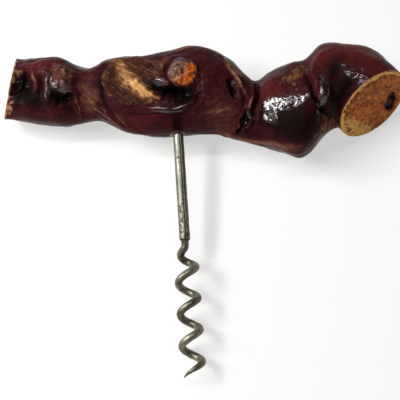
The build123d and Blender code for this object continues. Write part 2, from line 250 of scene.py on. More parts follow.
def outward(points):
    """The direction square to the surface, from the steps to the next ring and the next place."""
    along_step = np.gradient(points, axis=0)
    round_step = np.roll(points, -1, axis=1) - np.roll(points, 1, axis=1)
    square = np.cross(round_step, along_step)
    return square / np.linalg.norm(square, axis=2, keepdims=True)


rows, ring_lengths = even_rings()
even_around = np.arange(PLACES) * 360 / PLACES - 90
around_degrees = even_around - CROWDING * np.sin(np.radians(even_around - CROWDED_AT))
rough = rough_stock(rows, around_degrees)
square_out = outward(rough)
along, around = np.meshgrid(ring_lengths, around_degrees, indexing="ij")
print("stock is", round(ring_lengths[-1], 1), "mm along its middle line")

# %% [markdown]
# The features of the bark are drawn on the unrolled skin, like a map: along is millimetres from the left
# sawn end, around is degrees from the back over the top (90) to the front (180) and underneath. The map is
# first stirred with lumps so that no line on it comes out straight.

# %% Map of the skin
ROUND_MM = 0.25
STIR = 0.35
STIR_SIZE = 9.0
flat_round = around * ROUND_MM
map_along = along + STIR * lumps(rough, STIR_SIZE, 11)
map_round = flat_round + STIR * lumps(rough, STIR_SIZE, 12)


def from_line(points):
    """Distance of every place from a drawn line, and the share of the line that has gone by there."""
    line = np.array(points, float) * (1, ROUND_MM)
    lengths = np.linalg.norm(np.diff(line, axis=0), axis=1)
    starts = np.concatenate(((0,), np.cumsum(lengths)))
    nearest = np.full(along.shape, np.inf)
    share = np.zeros(along.shape)
    for first, second, length, start in zip(line, line[1:], lengths, starts):
        way = (second - first) / length
        reach = np.clip((map_along - first[0]) * way[0] + (map_round - first[1]) * way[1], 0, length)
        gap = np.hypot(map_along - first[0] - reach * way[0], map_round - first[1] - reach * way[1])
        share = np.where(gap < nearest, (start + reach) / starts[-1], share)
        nearest = np.minimum(gap, nearest)
    return nearest, share


def from_oval(at_along, at_around, half_length, half_width, turn=0.0):
    """Distance from an oval's middle on the map, as a share of its size, and the places in its own axes."""
    far_along = map_along - at_along
    far_round = map_round - at_around * ROUND_MM
    c, s = np.cos(np.radians(turn)), np.sin(np.radians(turn))
    lengthways = c * far_along + s * far_round
    crossways = c * far_round - s * far_along
    return np.hypot(lengthways / half_length, crossways / half_width), lengthways, crossways


def from_outline(corners):
    """Distance of every place from a closed outline on the map, below zero inside it. A place is inside when
    a line from it crosses the outline an odd number of times."""
    line = np.array(corners, float) * (1, ROUND_MM)
    inside = np.zeros(along.shape, bool)
    nearest = np.full(along.shape, np.inf)
    for first, second in zip(line, np.roll(line, -1, axis=0)):
        step = second - first
        far_along, far_round = map_along - first[0], map_round - first[1]
        share = np.clip((far_along * step[0] + far_round * step[1]) / (step @ step), 0, 1)
        nearest = np.minimum(nearest, np.hypot(far_along - share * step[0], far_round - share * step[1]))
        crosses = (first[1] > map_round) != (second[1] > map_round)
        inside ^= crosses & ((far_along * step[1] < far_round * step[0]) == (step[1] > 0))
    return np.where(inside, -nearest, nearest)


def soft_patch(share, edge):
    """1 where the share is below 1 and 0 where it is above, with a soft edge of the given width."""
    return 1 / (1 + np.exp(np.clip((share - 1) / edge, -30, 30)))


def dome(share):
    """1 in the middle of an oval, falling to 0 at its edge as the square of the distance."""
    return np.clip(1 - share ** 2, 0, 1)


print("map is", round(np.ptp(map_along), 1), "mm by", round(np.ptp(map_round), 1), "mm")

# %% [markdown]
# Folds, creases and hollows. A fold is a rounded ridge along a line, or a valley where its height is below
# zero. A crease is a sharp groove along a line, and a hollow is a pit, most of them with a raised rim. Each
# row gives a size in millimetres and where it lies on the map. The rows follow the photograph on top and in
# front; those underneath and at the back are a guess in the same manner.

# %% Folds, creases and hollows
# height, half width, line
FOLDS = (
    (0.9, 1.3, ((9.8, 70), (11.4, 90), (12.2, 112), (13.0, 130))),
    (1.5, 1.4, ((15.2, 74), (16.8, 92), (18.2, 110), (17.8, 130), (16.0, 142))),
    (0.35, 0.7, ((26.8, 118), (27.6, 138), (28.4, 158), (30.0, 188))),
    (0.8, 0.8, ((29.5, 100), (34.0, 130), (39.0, 152), (46.0, 178))),
    (0.4, 0.7, ((32.0, 100), (36.0, 124), (40.5, 144))),
    (0.35, 0.7, ((31.0, 128), (35.0, 155), (41.0, 182))),
    (1.2, 1.8, ((47.0, 47), (43.5, 60), (41.3, 80), (40.3, 100), (41.3, 118), (44.5, 129), (50.0, 135))),
    (1.5, 2.5, ((45.0, 130), (51.0, 135.5), (58.0, 136.5), (64.0, 136), (70.0, 136), (78.0, 129))),
    (1.0, 1.3, ((38.5, 130), (41.5, 147), (47.0, 165), (56.0, 192))),
    (0.5, 0.9, ((46.0, 46), (53.0, 54), (59.0, 64), (64.0, 76), (66.5, 90))),
    (1.8, 1.2, ((56.5, 92), (61.0, 96.5), (64.5, 102), (67.0, 108))),
    (0.9, 1.2, ((86.0, 40), (88.5, 62), (93.0, 78), (96.0, 92))),
    (1.2, 1.0, ((101.0, 40), (100.0, 70), (98.5, 95), (97.0, 118), (95.5, 135))),
    (0.6, 0.9, ((103.8, 55), (103.2, 80), (102.6, 110), (100.0, 140))),
    (0.6, 0.9, ((96.5, 165), (92.0, 150), (90.0, 160), (84.0, 200))),
    (1.4, 1.6, ((122.8, 62), (124.4, 92), (128.7, 114), (133.2, 132), (137.2, 155))),
    (0.6, 1.6, ((118.6, 60), (119.0, 80), (120.3, 100), (123.3, 124), (126.8, 142))),
    (-1.3, 3.4, ((130.0, 62), (132.0, 80), (134.5, 96), (137.5, 116), (140.0, 134))),
    (1.2, 2.6, ((126.8, 108), (128.2, 115), (129.4, 122))),
    (0.7, 1.4, ((20.0, 215), (32.0, 250), (44.0, 262))),
    (0.8, 1.4, ((55.0, 10), (70.0, -20), (84.0, -50))),
    (0.9, 1.5, ((60.0, 230), (74.0, 255), (90.0, 262))),
    (0.8, 1.3, ((104.0, 215), (112.0, 245), (122.0, 262))),
    (0.7, 1.3, ((104.0, 0), (116.0, -30), (128.0, -55))),
    (0.7, 1.2, ((10.0, 20), (20.0, -10), (34.0, -40))),
)
# depth, half width, line
CREASES = (
    (1.4, 0.9, ((13.6, 84), (14.4, 102), (14.2, 124))),
    (0.9, 0.8, ((19.4, 64), (18.4, 84), (19.0, 108))),
    (0.8, 0.6, ((25.8, 118), (26.6, 138), (27.2, 160))),
    (2.2, 1.1, ((40.6, 62), (38.6, 80), (37.8, 100), (38.6, 122), (41.0, 145), (47.0, 172), (55.0, 200))),
    (1.2, 0.7, ((45.0, 136), (51.0, 142), (57.0, 143), (63.0, 142), (69.0, 142), (74.0, 140))),
    (0.7, 0.7, ((47.0, 52), (54.0, 61), (59.5, 72), (63.5, 84))),
    (3.0, 1.5, ((57.0, 104), (62.0, 108), (66.0, 113), (70.0, 117), (74.5, 115), (77.0, 107))),
    (0.9, 1.1, ((64.0, 119), (69.0, 121), (73.0, 122))),
    (0.8, 0.8, ((92.0, 62), (95.0, 80), (95.5, 100), (93.5, 125))),
    (1.5, 0.9, ((102.3, 25), (101.8, 60), (101.0, 95), (99.0, 125), (98.0, 150))),
    (2.4, 1.0, ((119.4, 46), (120.4, 62), (121.3, 82), (122.6, 103), (126.0, 124), (131.0, 144), (135.0, 165),
                (137.0, 185))),
    (0.8, 1.6, ((125.4, 66), (128.4, 90), (133.4, 113), (137.8, 132), (140.2, 150))),
    (0.9, 0.9, ((24.0, 225), (36.0, 255))),
    (1.2, 1.0, ((101.0, 225), (99.0, 262))),
    (1.2, 1.0, ((40.0, 10), (38.0, -30), (41.0, -60))),
    (1.1, 1.0, ((101.0, 10), (103.0, -30), (100.0, -65))),
    (1.0, 0.9, ((120.0, -10), (123.0, -50))),
)
# depth, rim height, along, around, half length, half width, turn
HOLLOWS = (
    (3.4, 0.0, 5.6, 109.0, 4.4, 5.4, 0.0),
    (3.2, 0.1, 24.0, 126.0, 4.0, 2.6, -20.0),
    (0.9, 0.2, 26.0, 80.0, 1.1, 0.9, 0.0),
    (2.4, 0.4, 90.2, 97.0, 1.7, 2.7, 0.0),
    (3.0, 0.8, 95.2, 135.0, 5.2, 1.5, 118.0),
    (2.6, 0.1, 70.4, 115.0, 4.8, 3.0, 5.0),
    (0.7, 0.1, 58.2, 73.0, 1.8, 0.9, 40.0),
    (2.0, 0.8, 30.0, -50.0, 3.0, 2.2, 20.0),
    (2.2, 0.9, 76.0, -25.0, 3.4, 2.4, -30.0),
    (2.4, 0.8, 112.0, 240.0, 3.2, 2.4, 15.0),
    (1.8, 0.7, 60.0, 250.0, 2.4, 3.0, 0.0),
)
print("folds", len(FOLDS), "creases", len(CREASES), "hollows", len(HOLLOWS))

# %% [markdown]
# The three lists become one relief, a height above or below the rough form at every point. A fold is a bell
# curve across its line and a crease a valley with a sharp bottom, and both fade out at the ends of the line.
# The outline of a hollow is pushed in and out by lumps, so that none of them is a neat oval.

# %% Relief of folds, creases and hollows
# How far the outline of a hollow is pushed in and out, and the size of those lumps
RAGGED_SHARE, RAGGED_SIZE = 0.16, 4.0
# The rim's place and width as shares of the hollow's size, and the share of its height that is used
RIM_AT, RIM_WIDTH, RIM_SHARE = 1.3, 0.3, 0.5
HOLLOW_POWER = 2.4


def tapered(share):
    """Full in the middle of a line and nothing at its two ends."""
    return np.sin(np.pi * np.clip(share, 0, 1)) ** 0.5


relief = np.zeros(along.shape)
ragged = 1 + RAGGED_SHARE * lumps(rough, RAGGED_SIZE, 13)
for height, half_width, line in FOLDS:
    gap, share = from_line(line)
    relief += height * tapered(share) * np.exp(-(gap / half_width) ** 2)
for depth, half_width, line in CREASES:
    gap, share = from_line(line)
    relief -= depth * tapered(share) * np.exp(-gap / half_width)
for depth, rim, *oval in HOLLOWS:
    share = from_oval(*oval)[0] * ragged
    raised = RIM_SHARE * rim * np.exp(-((share - RIM_AT) / RIM_WIDTH) ** 2)
    relief += raised - depth * np.exp(-share ** HOLLOW_POWER)
print("relief so far from", round(relief.min(), 2), "to", round(relief.max(), 2), "mm")

# %% [markdown]
# Three grown features need more than a line: the long scar where the bark is gone and torn fibres show, the
# burl with its knobbly crust, and the collar round the twig stub. The fibres are lumps that are stretched
# along the grain, a dozen times and more, and the grain of the scar is drawn together at its tips.

# %% Scar, burl and collar
SCAR_OVAL = (52.0, 96.0, 15.0, 9.4, 33.0)
SCAR_DEPTH, SCAR_DISH_EDGE = 1.5, 0.07
SCAR_OUTLINE = ((42.4, 58), (46, 49), (52, 50), (57, 62), (62, 76), (64.5, 86), (61, 92), (58, 99), (60, 112),
                (63, 118), (59, 123), (53.5, 128), (47.5, 131.5), (42.3, 124),
                (39.6, 108), (39.4, 92), (40.2, 74))
# How far the torn edge of the scar frays, and how soft it is
SCAR_FRAY, SCAR_EDGE = 0.4, 0.3
# height, size and seed of the lumps that fray a torn edge
FRAYS = ((0.5, 2.4, 24), (0.25, 1.2, 25))
EYE_FROM, EYE_TO = 39.0, 72.0
EYE_REACH = 17.0
EYE_NARROWEST = 0.12
FIBRE_STRETCH = np.array((11.0, 0.62, 1.0))
FIBRE_SIZE, FIBRE_HEIGHT = 1.6, 0.26
# The grain's direction on the map, in degrees, up to each length along the stock
GRAIN_TURNS = ((39.0, 49.0), (104.0, -33.0), (200.0, 40.0))
BURL_OVAL = (23.0, 86.0, 6.0, 6.2)
BURL_HEIGHT, BURL_EDGE = 2.0, 0.08
CRUST_HEIGHT, CRUST_SUNK, CRUST_SIZE = 0.30, 0.2, 3.2
FINE_CRUST_SHARE, FINE_CRUST_SIZE = 0.35, 1.4
STUB_ALONG, STUB_AROUND, STUB_RADIUS = 69.4, 86.0, 5.8
# The collar's place and width as shares of the stub's radius, and the hollow that the stub stands in
COLLAR_AT, COLLAR_WIDTH, COLLAR_HEIGHT = 1.15, 0.2, 0.15
SOCKET_SHARE, SOCKET_DEPTH, SOCKET_EDGE = 0.85, 1.2, 0.05


def grain_places():
    """Lengths along and across the grain: turned by an angle that changes along the stock, and drawn together
    at the two tips of the scar, like the lines of an eye."""
    grain_along, grain_across = np.zeros(along.shape), np.zeros(along.shape)
    for until, turn in reversed(GRAIN_TURNS):
        c, s = np.cos(np.radians(turn)), np.sin(np.radians(turn))
        grain_along = np.where(along < until, c * along + s * flat_round, grain_along)
        grain_across = np.where(along < until, c * flat_round - s * along, grain_across)
    in_eye = (along > EYE_FROM) & (along < EYE_TO)
    _, eye_along, eye_across = from_oval(*SCAR_OVAL)
    narrow = np.sqrt(np.clip(1 - (eye_along / EYE_REACH) ** 2, EYE_NARROWEST, 1))
    return np.where(in_eye, eye_along, grain_along), np.where(in_eye, eye_across / narrow, grain_across)


def flat_places(first, second):
    """Points with the two lengths as x and y, for lumps that lie along the map."""
    return np.stack((first, second, 0 * first), axis=-1)


grain_along, grain_across = grain_places()
fibre = lumps(flat_places(grain_along, grain_across) / FIBRE_STRETCH, FIBRE_SIZE, 21)
frayed = layered(rough, FRAYS)
scar_share = from_oval(*SCAR_OVAL)[0]
scar_edge = from_outline(SCAR_OUTLINE)
scar = soft_patch(1 + scar_edge + SCAR_FRAY * frayed, SCAR_EDGE)
relief += scar * FIBRE_HEIGHT * fibre - soft_patch(scar_share, SCAR_DISH_EDGE) * SCAR_DEPTH * dome(scar_share)
burl_share = from_oval(*BURL_OVAL)[0]
burl = soft_patch(burl_share, BURL_EDGE)
fine_crust = np.abs(lumps(rough, FINE_CRUST_SIZE, 23))
crust = np.abs(lumps(rough, CRUST_SIZE, 22)) + FINE_CRUST_SHARE * fine_crust
relief += burl * (BURL_HEIGHT * dome(burl_share) + CRUST_HEIGHT * crust - CRUST_SUNK)
stub_share = from_oval(STUB_ALONG, STUB_AROUND, STUB_RADIUS, STUB_RADIUS)[0]
relief += COLLAR_HEIGHT * np.exp(-((stub_share - COLLAR_AT) / COLLAR_WIDTH) ** 2)
relief -= SOCKET_DEPTH * soft_patch(stub_share / SOCKET_SHARE, SOCKET_EDGE)
print("scar covers", int((scar > 0.5).sum()), "points, burl", int((burl > 0.5).sum()))

# %% [markdown]
# Under all of that the bark has a general unevenness: long twisting furrows, small folds that run round the
# right middle lobe and break up its shine, and fine dimples. Where the rings crowd together inside the
# bend, the relief fades so that the surface never folds through itself. At the two cuts the last ring is
# laid into the saw's plane.

# %% Furrows and dimples
TWIST = 0.15
FURROW_LENGTH, FURROW_WIDTH, FURROW_DEPTH, FURROW_SIZE = 16.0, 2.6, 0.06, 2.0
# height, size and seed
DIMPLES = ((0.16, 11.0, 33), (0.03, 4.0, 34), (0.008, 1.4, 35))
PIT_LUMPS = ((0.22, 2.6, 38), (0.10, 1.3, 39))
LOBE_OVAL = (112.5, 95.0, 10.0, 7.0)
LOBE_FOLD_WIDTH, LOBE_FOLD_LENGTH, LOBE_FOLD_HEIGHT, LOBE_FOLD_SIZE = 2.2, 6.0, 0.06, 1.3
LOBE_FLATTENED = 0.35
BUMPY_OVAL = (145.0, 105.0, 9.0, 6.0)
BUMPY_HEIGHT, BUMPY_SIZE = 0.03, 2.4
LOBE_EDGE, PIT_EDGE = 0.15, 0.2
LEAST_RING_STEP = 0.3
CHIP_DEPTH, CHIP_REACH, CHIP_FROM, CHIP_SIZE = 0.9, 1.5, 0.3, 6.0
furrow_places = flat_places(along / FURROW_LENGTH, (flat_round + TWIST * along) / FURROW_WIDTH)
relief -= FURROW_DEPTH * np.abs(lumps(furrow_places, FURROW_SIZE, 31))
relief += layered(rough, DIMPLES)
lobe_share = from_oval(*LOBE_OVAL)[0]
lobe_folds = lumps(flat_places(along / LOBE_FOLD_WIDTH, flat_round / LOBE_FOLD_LENGTH), LOBE_FOLD_SIZE, 32)
lobe_relief = LOBE_FOLD_HEIGHT * lobe_folds - LOBE_FLATTENED * dome(lobe_share)
relief += soft_patch(lobe_share, LOBE_EDGE) * lobe_relief
bumpy = soft_patch(from_oval(*BUMPY_OVAL)[0], LOBE_EDGE)
relief += BUMPY_HEIGHT * bumpy * lumps(rough, BUMPY_SIZE, 36)
pitted = np.max([soft_patch(from_oval(*oval)[0] * ragged, PIT_EDGE) for _, _, *oval in HOLLOWS], axis=0)
relief += pitted * layered(rough, PIT_LUMPS)
ring_step = np.linalg.norm(np.gradient(rough, axis=0), axis=2)
relief *= np.clip(ring_step / LEAST_RING_STEP, 0, 1)
chipped = np.clip(lumps(rough, CHIP_SIZE, 37) - CHIP_FROM, 0, 1) * np.exp(-along / CHIP_REACH)
relief -= CHIP_DEPTH * chipped
skin_points = rough + relief[..., None] * square_out
ring_middles = rows[:, MIDDLE] + drawing_shift
ring_back, ring_up, ring_ahead = ring_directions(rows)
for end in (0, -1):
    off_plane = (skin_points[end] - ring_middles[end]) @ ring_ahead[end]
    skin_points[end] -= off_plane[:, None] * ring_ahead[end]
skin_points[..., 2] = np.maximum(skin_points[..., 2], 0)
print("relief from", round(relief.min(), 2), "to", round(relief.max(), 2), "mm")

# %% [markdown]
# The finish of the skin changes from place to place, so the map is used once more, for masks: where the
# wood is bare and how golden or shaded it is, where the lacquer is worn to a brown, painted black as shade
# (in one place a real stain) or redder, where it still shines and how broken that shine is. First come the
# lists of patches and strands.

# %% Patches of the skin's finish
# width of the edge, how bare, how golden, corners of the outline
BARE_PATCHES = (
    (0.9, 1.0, 0.46, ((44.4, 57), (47, 58), (49.5, 71), (53, 88), (57, 102), (60, 113), (58, 118), (54, 115),
                      (50, 108), (47, 95), (45, 78))),
    (0.9, 1.0, 0.92, ((49.5, 90), (53, 94), (56.5, 103), (59, 112), (57, 116), (53.5, 112), (50.5, 104))),
    (0.9, 0.9, 0.30, ((0.5, 72), (3.6, 75), (5.4, 82), (3.6, 89), (0.5, 92))),
    (0.8, 1.0, 0.42, ((0, 134), (2.0, 138), (3.0, 150), (2.6, 166), (0, 180))),
    (0.35, 0.9, 0.10, ((121, 42), (120.8, 64), (118, 74), (115.3, 85), (113.4, 76), (110.4, 79.5),
                       (111.8, 70), (114, 61), (117.4, 51))),
    (0.4, 0.95, 0.20, ((131.5, 148), (127.5, 151), (122, 151.5), (121, 158), (126, 168), (133, 186),
                       (140, 204), (141.5, 186), (140.5, 172), (136, 160))),
)
# width of the edge, how much darker, corners of the outline
SHADED_PATCHES = (
    (0.8, 0.30, ((50, 44), (58, 60), (64, 76), (65.5, 87), (60, 93), (57.5, 98), (54, 84),
                 (51, 70), (48.5, 56))),
    (0.8, 0.15, ((39, 70), (41.5, 68), (43, 92), (46.5, 112), (52, 120), (50, 131), (42, 126), (38.5, 108))),
)
# along, around, half length, half width, turn, how worn
WORN_PATCHES = (
    (23.2, 88.0, 6.5, 6.4, 0.0, 0.75),
    (33.5, 132.0, 4.6, 9.0, 10.0, 0.80),
    (32.5, 103.0, 4.5, 4.5, 0.0, 0.72),
    (33.5, 82.0, 4.0, 4.0, 0.0, 0.55),
    (64.5, 72.0, 3.5, 4.0, 15.0, 0.75),
    (11.0, 98.0, 3.0, 6.0, 0.0, 0.5),
    (84.0, 145.0, 12.0, 9.0, -30.0, 0.60),
    (98.0, 114.0, 1.4, 5.0, 0.0, 0.7),
    (58.0, 50.0, 9.0, 4.0, 25.0, 0.5),
    (109.0, 76.0, 8.0, 4.0, 0.0, 0.4),
    (92.0, 58.0, 5.0, 5.0, 0.0, 0.6),
    (45.5, 160.0, 2.6, 3.4, 0.0, 0.8),
    (50.0, 18.0, 8.0, 4.0, 20.0, 0.5),
    (118.0, 14.0, 9.0, 4.0, -15.0, 0.5),
    (142.0, 28.0, 6.0, 5.0, 0.0, 0.45),
    (14.0, 12.0, 6.0, 4.0, 10.0, 0.5),
    (82.0, 0.0, 7.0, 4.0, 25.0, 0.5),
)
# half width, how worn, line
WORN_STRANDS = (
    (0.45, 1.0, ((28.8, 107), (33.4, 139), (39.1, 165), (47.2, 181), (53.0, 196))),
    (0.35, 1.0, ((28.0, 112), (28.6, 140), (29.5, 170), (32.0, 190))),
    (0.35, 1.0, ((38.5, 125), (39.5, 150), (40.8, 174), (47.0, 188), (52.0, 200))),
    (2.0, 1.0, ((85.0, 60), (90.0, 63), (94.5, 62), (99.0, 50), (102.0, 42))),
    (1.6, 1.0, ((87.0, 64), (91.0, 74), (94.5, 84), (97.0, 96))),
    (1.6, 0.85, ((60.0, 46), (70.0, 38), (80.0, 40), (86.0, 50))),
    (1.2, 0.75, ((138.0, 50), (145.0, 47), (151.0, 53))),
    (0.7, 0.85, ((20.0, 32), (35.0, 14), (52.0, 4), (70.0, -8))),
    (0.7, 0.85, ((104.0, 26), (116.0, 10), (130.0, -6))),
    (3.0, 0.95, ((74.0, 182), (88.0, 184), (100.0, 176), (110.0, 170), (117.0, 159), (122.0, 163))),
    (0.6, 0.9, ((44.5, 52), (50.0, 47), (56.0, 56), (61.0, 68), (64.0, 78))),
    (1.2, 0.75, ((74.0, 152), (83.0, 138), (92.0, 122))),
    (1.2, 0.7, ((76.0, 174), (84.0, 160), (91.0, 146))),
)
# along, around, half length, half width, turn; painted shade, black, in the hollows and crevices
BLACK_PATCHES = (
    (4.8, 107.0, 4.4, 6.4, 0.0),
    (24.0, 128.0, 4.4, 2.8, -20.0),
    (61.5, 106.0, 5.0, 1.4, 22.0),
    (70.6, 120.0, 5.2, 3.4, 0.0),
    (68.5, 113.0, 6.5, 2.4, 5.0),
    (90.2, 97.0, 1.6, 2.6, 0.0),
    (95.2, 135.0, 5.6, 1.6, 118.0),
)
# along, around, half length, half width, turn; painted shade, near black, with one real stain above the shank
STAINED_PATCHES = (
    (112.0, 128.0, 10.5, 6.0, 0.0),
    (141.0, 125.0, 9.0, 8.0, 0.0),
    (135.0, 94.0, 4.4, 5.4, 10.0),
    (67.5, 160.0, 2.0, 5.0, 0.0),
    (38.5, 112.0, 2.2, 9.0, 8.0),
    (10.0, 128.0, 7.0, 4.0, 0.0),
)
# along, around, half length, half width, turn, how broken its shine is
GLOSS_PATCHES = (
    (17.5, 110.0, 2.5, 6.0, 0.0, 0.9),
    (23.0, 109.0, 4.0, 2.0, 0.0, 0.9),
    (61.0, 97.0, 4.0, 1.6, 20.0, 0.9),
    (64.0, 132.5, 7.5, 3.0, 0.0, 0.15),
    (70.0, 119.0, 3.4, 1.8, 0.0, 0.9),
    (95.2, 135.0, 5.0, 1.6, 118.0, 0.9),
    (112.5, 99.0, 10.0, 3.4, -4.0, 0.9),
    (106.0, 118.5, 2.4, 3.2, 20.0, 0.9),
    (129.0, 112.0, 4.0, 7.0, 30.0, 0.9),
    (146.0, 101.0, 9.0, 3.6, 12.0, 0.9),
    (150.5, 113.0, 2.0, 2.4, 0.0, 0.9),
)
# along, around, half length, half width, how red
RED_PATCHES = (
    (141.0, 70.0, 14.0, 8.0, 0.9),
    (15.0, 68.0, 10.0, 3.5, 0.7),
    (16.0, 156.0, 9.0, 3.0, 0.45),
    (58.0, 155.0, 12.0, 4.0, 0.45),
    (106.0, 78.0, 6.0, 5.0, 0.45),
    (145.0, 82.0, 7.0, 3.0, 0.6),
)
print("worn patches", len(WORN_PATCHES), "worn strands", len(WORN_STRANDS))
print("shining patches", len(GLOSS_PATCHES), "red patches", len(RED_PATCHES))

# %% [markdown]
# The lists become masks, numbers at every point that run from 0 to 1, and below 0 where bare wood is shaded.
# Where patches meet, the stronger one counts. Two masks also look at the relief, through a blurred copy of
# it:
# where the relief lies lower than its surroundings, painted shade darkens the creases, and where it lies
# higher the crests are painted paler, partly as worn lacquer and partly as painted highlight. The front low
# down is painted redder and lighter, as painted light thrown up from the table.

# %% Masks for the skin's finish
# How golden the scar's wood is, how much less so at its border, and the width of that border
SCAR_GOLDEN, SCAR_BORDER, BORDER_WIDTH = 0.10, 0.22, 1.2
# How golden the bare rims of the two sawn ends are
LEFT_RIM_GOLDEN, RIGHT_RIM_GOLDEN = 0.42, 0.5
# Widths of those rims; lumps make the left one vary, down to a least width
RIGHT_RIM_WIDTH = 0.8
LEFT_RIM_WIDTH, LEFT_RIM_SPREAD, LEFT_RIM_LEAST, LEFT_RIM_SIZE = 0.6, 0.4, 0.15, 5.0
# How soft the edges of the masks are
RIM_EDGE, LOW_FRONT_EDGE, RED_EDGE, BLACK_EDGE, STAINED_EDGE = 0.3, 0.2, 0.3, 0.22, 0.3
GLOSS_EDGE, WORN_EDGE = 0.2, 0.35
# The front near the table, in degrees round the stock, painted redder and lighter as light thrown up from the
# table
LOW_FRONT, LOW_FRONT_SPREAD, LOW_FRONT_RED = 185.0, 24.0, 0.45
# How far below its surroundings a place starts to take painted shade, and over how many millimetres that
# grows
DIRT_FROM, DIRT_RANGE = 0.25, 1.3
# How far above its surroundings a crest starts to be painted paler, partly wear and partly painted highlight,
# and how much
WORN_FROM, WORN_SHARE = 0.3, 0.5
BLUR_PASSES = 60


def blurred(values, passes):
    """Each pass takes the mean of a place and its four neighbours on the grid."""
    for _ in range(passes):
        padded = np.pad(values, ((1, 1), (0, 0)), mode="edge")
        sides = np.roll(values, 1, axis=1) + np.roll(values, -1, axis=1)
        values = (padded[:-2] + padded[2:] + sides + values) / 5
    return values


def patches(marks, edge):
    """The highest of several soft ovals on the map, each times the share that ends its row."""
    return np.max([share * soft_patch(from_oval(*oval)[0], edge) for *oval, share in marks], axis=0)


def whole(ovals):
    """Rows for patches of full strength."""
    return [(*oval, 1.0) for oval in ovals]


bare = scar.copy()
golden = scar * (SCAR_GOLDEN - SCAR_BORDER * np.exp(np.minimum(scar_edge, 0) / BORDER_WIDTH))
for edge, how_bare, how_golden, corners in BARE_PATCHES:
    patch = soft_patch(1 + from_outline(corners) + frayed, edge)
    bare = np.maximum(bare, how_bare * patch)
    golden = np.maximum(golden, how_golden * patch)
for edge, how_dark, corners in SHADED_PATCHES:
    golden -= how_dark * soft_patch(1 + from_outline(corners) + frayed, edge)
rim_width = np.maximum(LEFT_RIM_WIDTH + LEFT_RIM_SPREAD * lumps(rough, LEFT_RIM_SIZE, 41), LEFT_RIM_LEAST)
left_rim = soft_patch(along / rim_width, RIM_EDGE)
right_rim = soft_patch((ring_lengths[-1] - along) / RIGHT_RIM_WIDTH, RIM_EDGE)
bare = np.maximum(bare, np.maximum(left_rim, right_rim))
golden = np.maximum(golden, np.maximum(LEFT_RIM_GOLDEN * left_rim, RIGHT_RIM_GOLDEN * right_rim))
# Painted light: the front low down is redder and lighter, as light from the table; the red patches are the
# lacquer's own
low_front = soft_patch(np.abs(around - LOW_FRONT) / LOW_FRONT_SPREAD, LOW_FRONT_EDGE)
reddish = np.maximum(patches(RED_PATCHES, RED_EDGE), LOW_FRONT_RED * low_front)
lower = blurred(relief, BLUR_PASSES) - relief
# Painted shade: creases darken where the relief lies below its blurred copy, and the hollows are painted
# black
dirt = np.clip((lower - DIRT_FROM) / DIRT_RANGE, 0, 1)
grime = np.maximum(dirt, patches(whole(BLACK_PATCHES), BLACK_EDGE))
# Painted shade, near black, below the shine, in the valleys and a crease; one patch is a real stain
stained = patches(whole(STAINED_PATCHES), STAINED_EDGE)
gloss = patches(whole(oval for *oval, _ in GLOSS_PATCHES), GLOSS_EDGE)
broken = patches(GLOSS_PATCHES, GLOSS_EDGE)
worn = patches(WORN_PATCHES, WORN_EDGE)
for half_width, how_worn, line in WORN_STRANDS:
    gap, share = from_line(line)
    worn = np.maximum(worn, how_worn * tapered(share) * np.exp(-(gap / half_width) ** 2))
# Crests above their surroundings are painted paler, partly as worn lacquer and partly as painted highlight
worn = np.clip(worn + WORN_SHARE * np.clip(-lower - WORN_FROM, 0, 1), 0, 1)
for name, mask in (("bare", bare), ("grimy", grime), ("worn", worn), ("shining", gloss)):
    print(name, "share of the skin", round(float((mask > 0.5).mean()), 3))

# %% [markdown]
# The skin is now one grid with all its masks stored at the points. It stands in for the handle's solid,
# which is hidden. The lengths along and across the grain are stored too, so that streaks can follow the
# grain round bends.

# %% Skin of the vine stock
FIBROUS_WHERE_GOLDEN = 0.4
fibrous = scar * (1 - (1 - FIBROUS_WHERE_GOLDEN) * golden)
vine_skin = grid_piece("vine_skin", skin_points, flip=True, bare=bare, golden=golden, worn=worn,
                       reddish=reddish, grime=grime, stained=stained, gloss=gloss, broken=broken,
                       fibrous=fibrous, grain=flat_places(grain_along, grain_across))
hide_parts("vine_handle")

# %% [markdown]
# The sawn ends are flat ovals of end grain. Each grid is drawn from the middle, on the right from the hole
# where the pith has gone, out to the last ring of the skin, point for point, so that no gap shows at the
# rim. Distances that the finish needs, such as that from the pith for its growth rings, are stored at the
# points.

# %% Sawn ends
PITH_ASIDE, PITH_UP = 8.8, -4.5
PITH_RADIUS = 2.6
PITH_TALLER = 1.5
FACE_RINGS = 64
# How far back from the left end's middle the lines of its face start
LEFT_ASIDE = 2.0
# radius as a share of the hole's, and depth in millimetres, from the bottom of the hole to its mouth
PITH_PROFILE = np.array(((0.3, 6.0), (0.6, 5.4), (0.8, 4.2), (0.92, 3.0), (1.0, 1.4), (1.12, 0.6),
                         (1.28, 0.2), (1.45, 0.0)))
FLAT_PROFILE = np.array(((0.08, 0.3), (0.2, 0.1)))
# The clock angle of each drying crack in the end grain, its width in degrees and its depth
END_CRACKS = ((35.0, 2.0, 0.25), (150.0, 1.2, 0.22), (205.0, 1.6, 0.2), (262.0, 1.6, 0.25), (318.0, 2.0, 0.3))
CRACK_BEND, CRACK_WAVE, CRACK_FROM = 3.0, 2.3, 5.0
SAW_DEPTH, SAW_WAVES = 0.05, 5.2
TORN_SHARE, TORN_SIZE = 0.10, 3.5
# height and size of the lumps on a sawn face
FACE_LUMPS = ((0.06, 2.0), (0.10, 9.0))
# The width of the rim that stays flat and of the pale rim, and the place and width of the dark line
FLAT_RIM, PALE_RIM, DARK_LINE_AT, DARK_LINE = 0.6, 1.5, 2.0, 0.45
DARK_LINE_STRENGTH = 1.5
RIM_WANDER, RIM_WANDER_SIZE = 0.5, 3.0


def slanted(long_way, short_way):
    """A direction between two square ones that leans to the first, with the sides of a 3-4-5 triangle."""
    return 0.8 * long_way + 0.6 * short_way


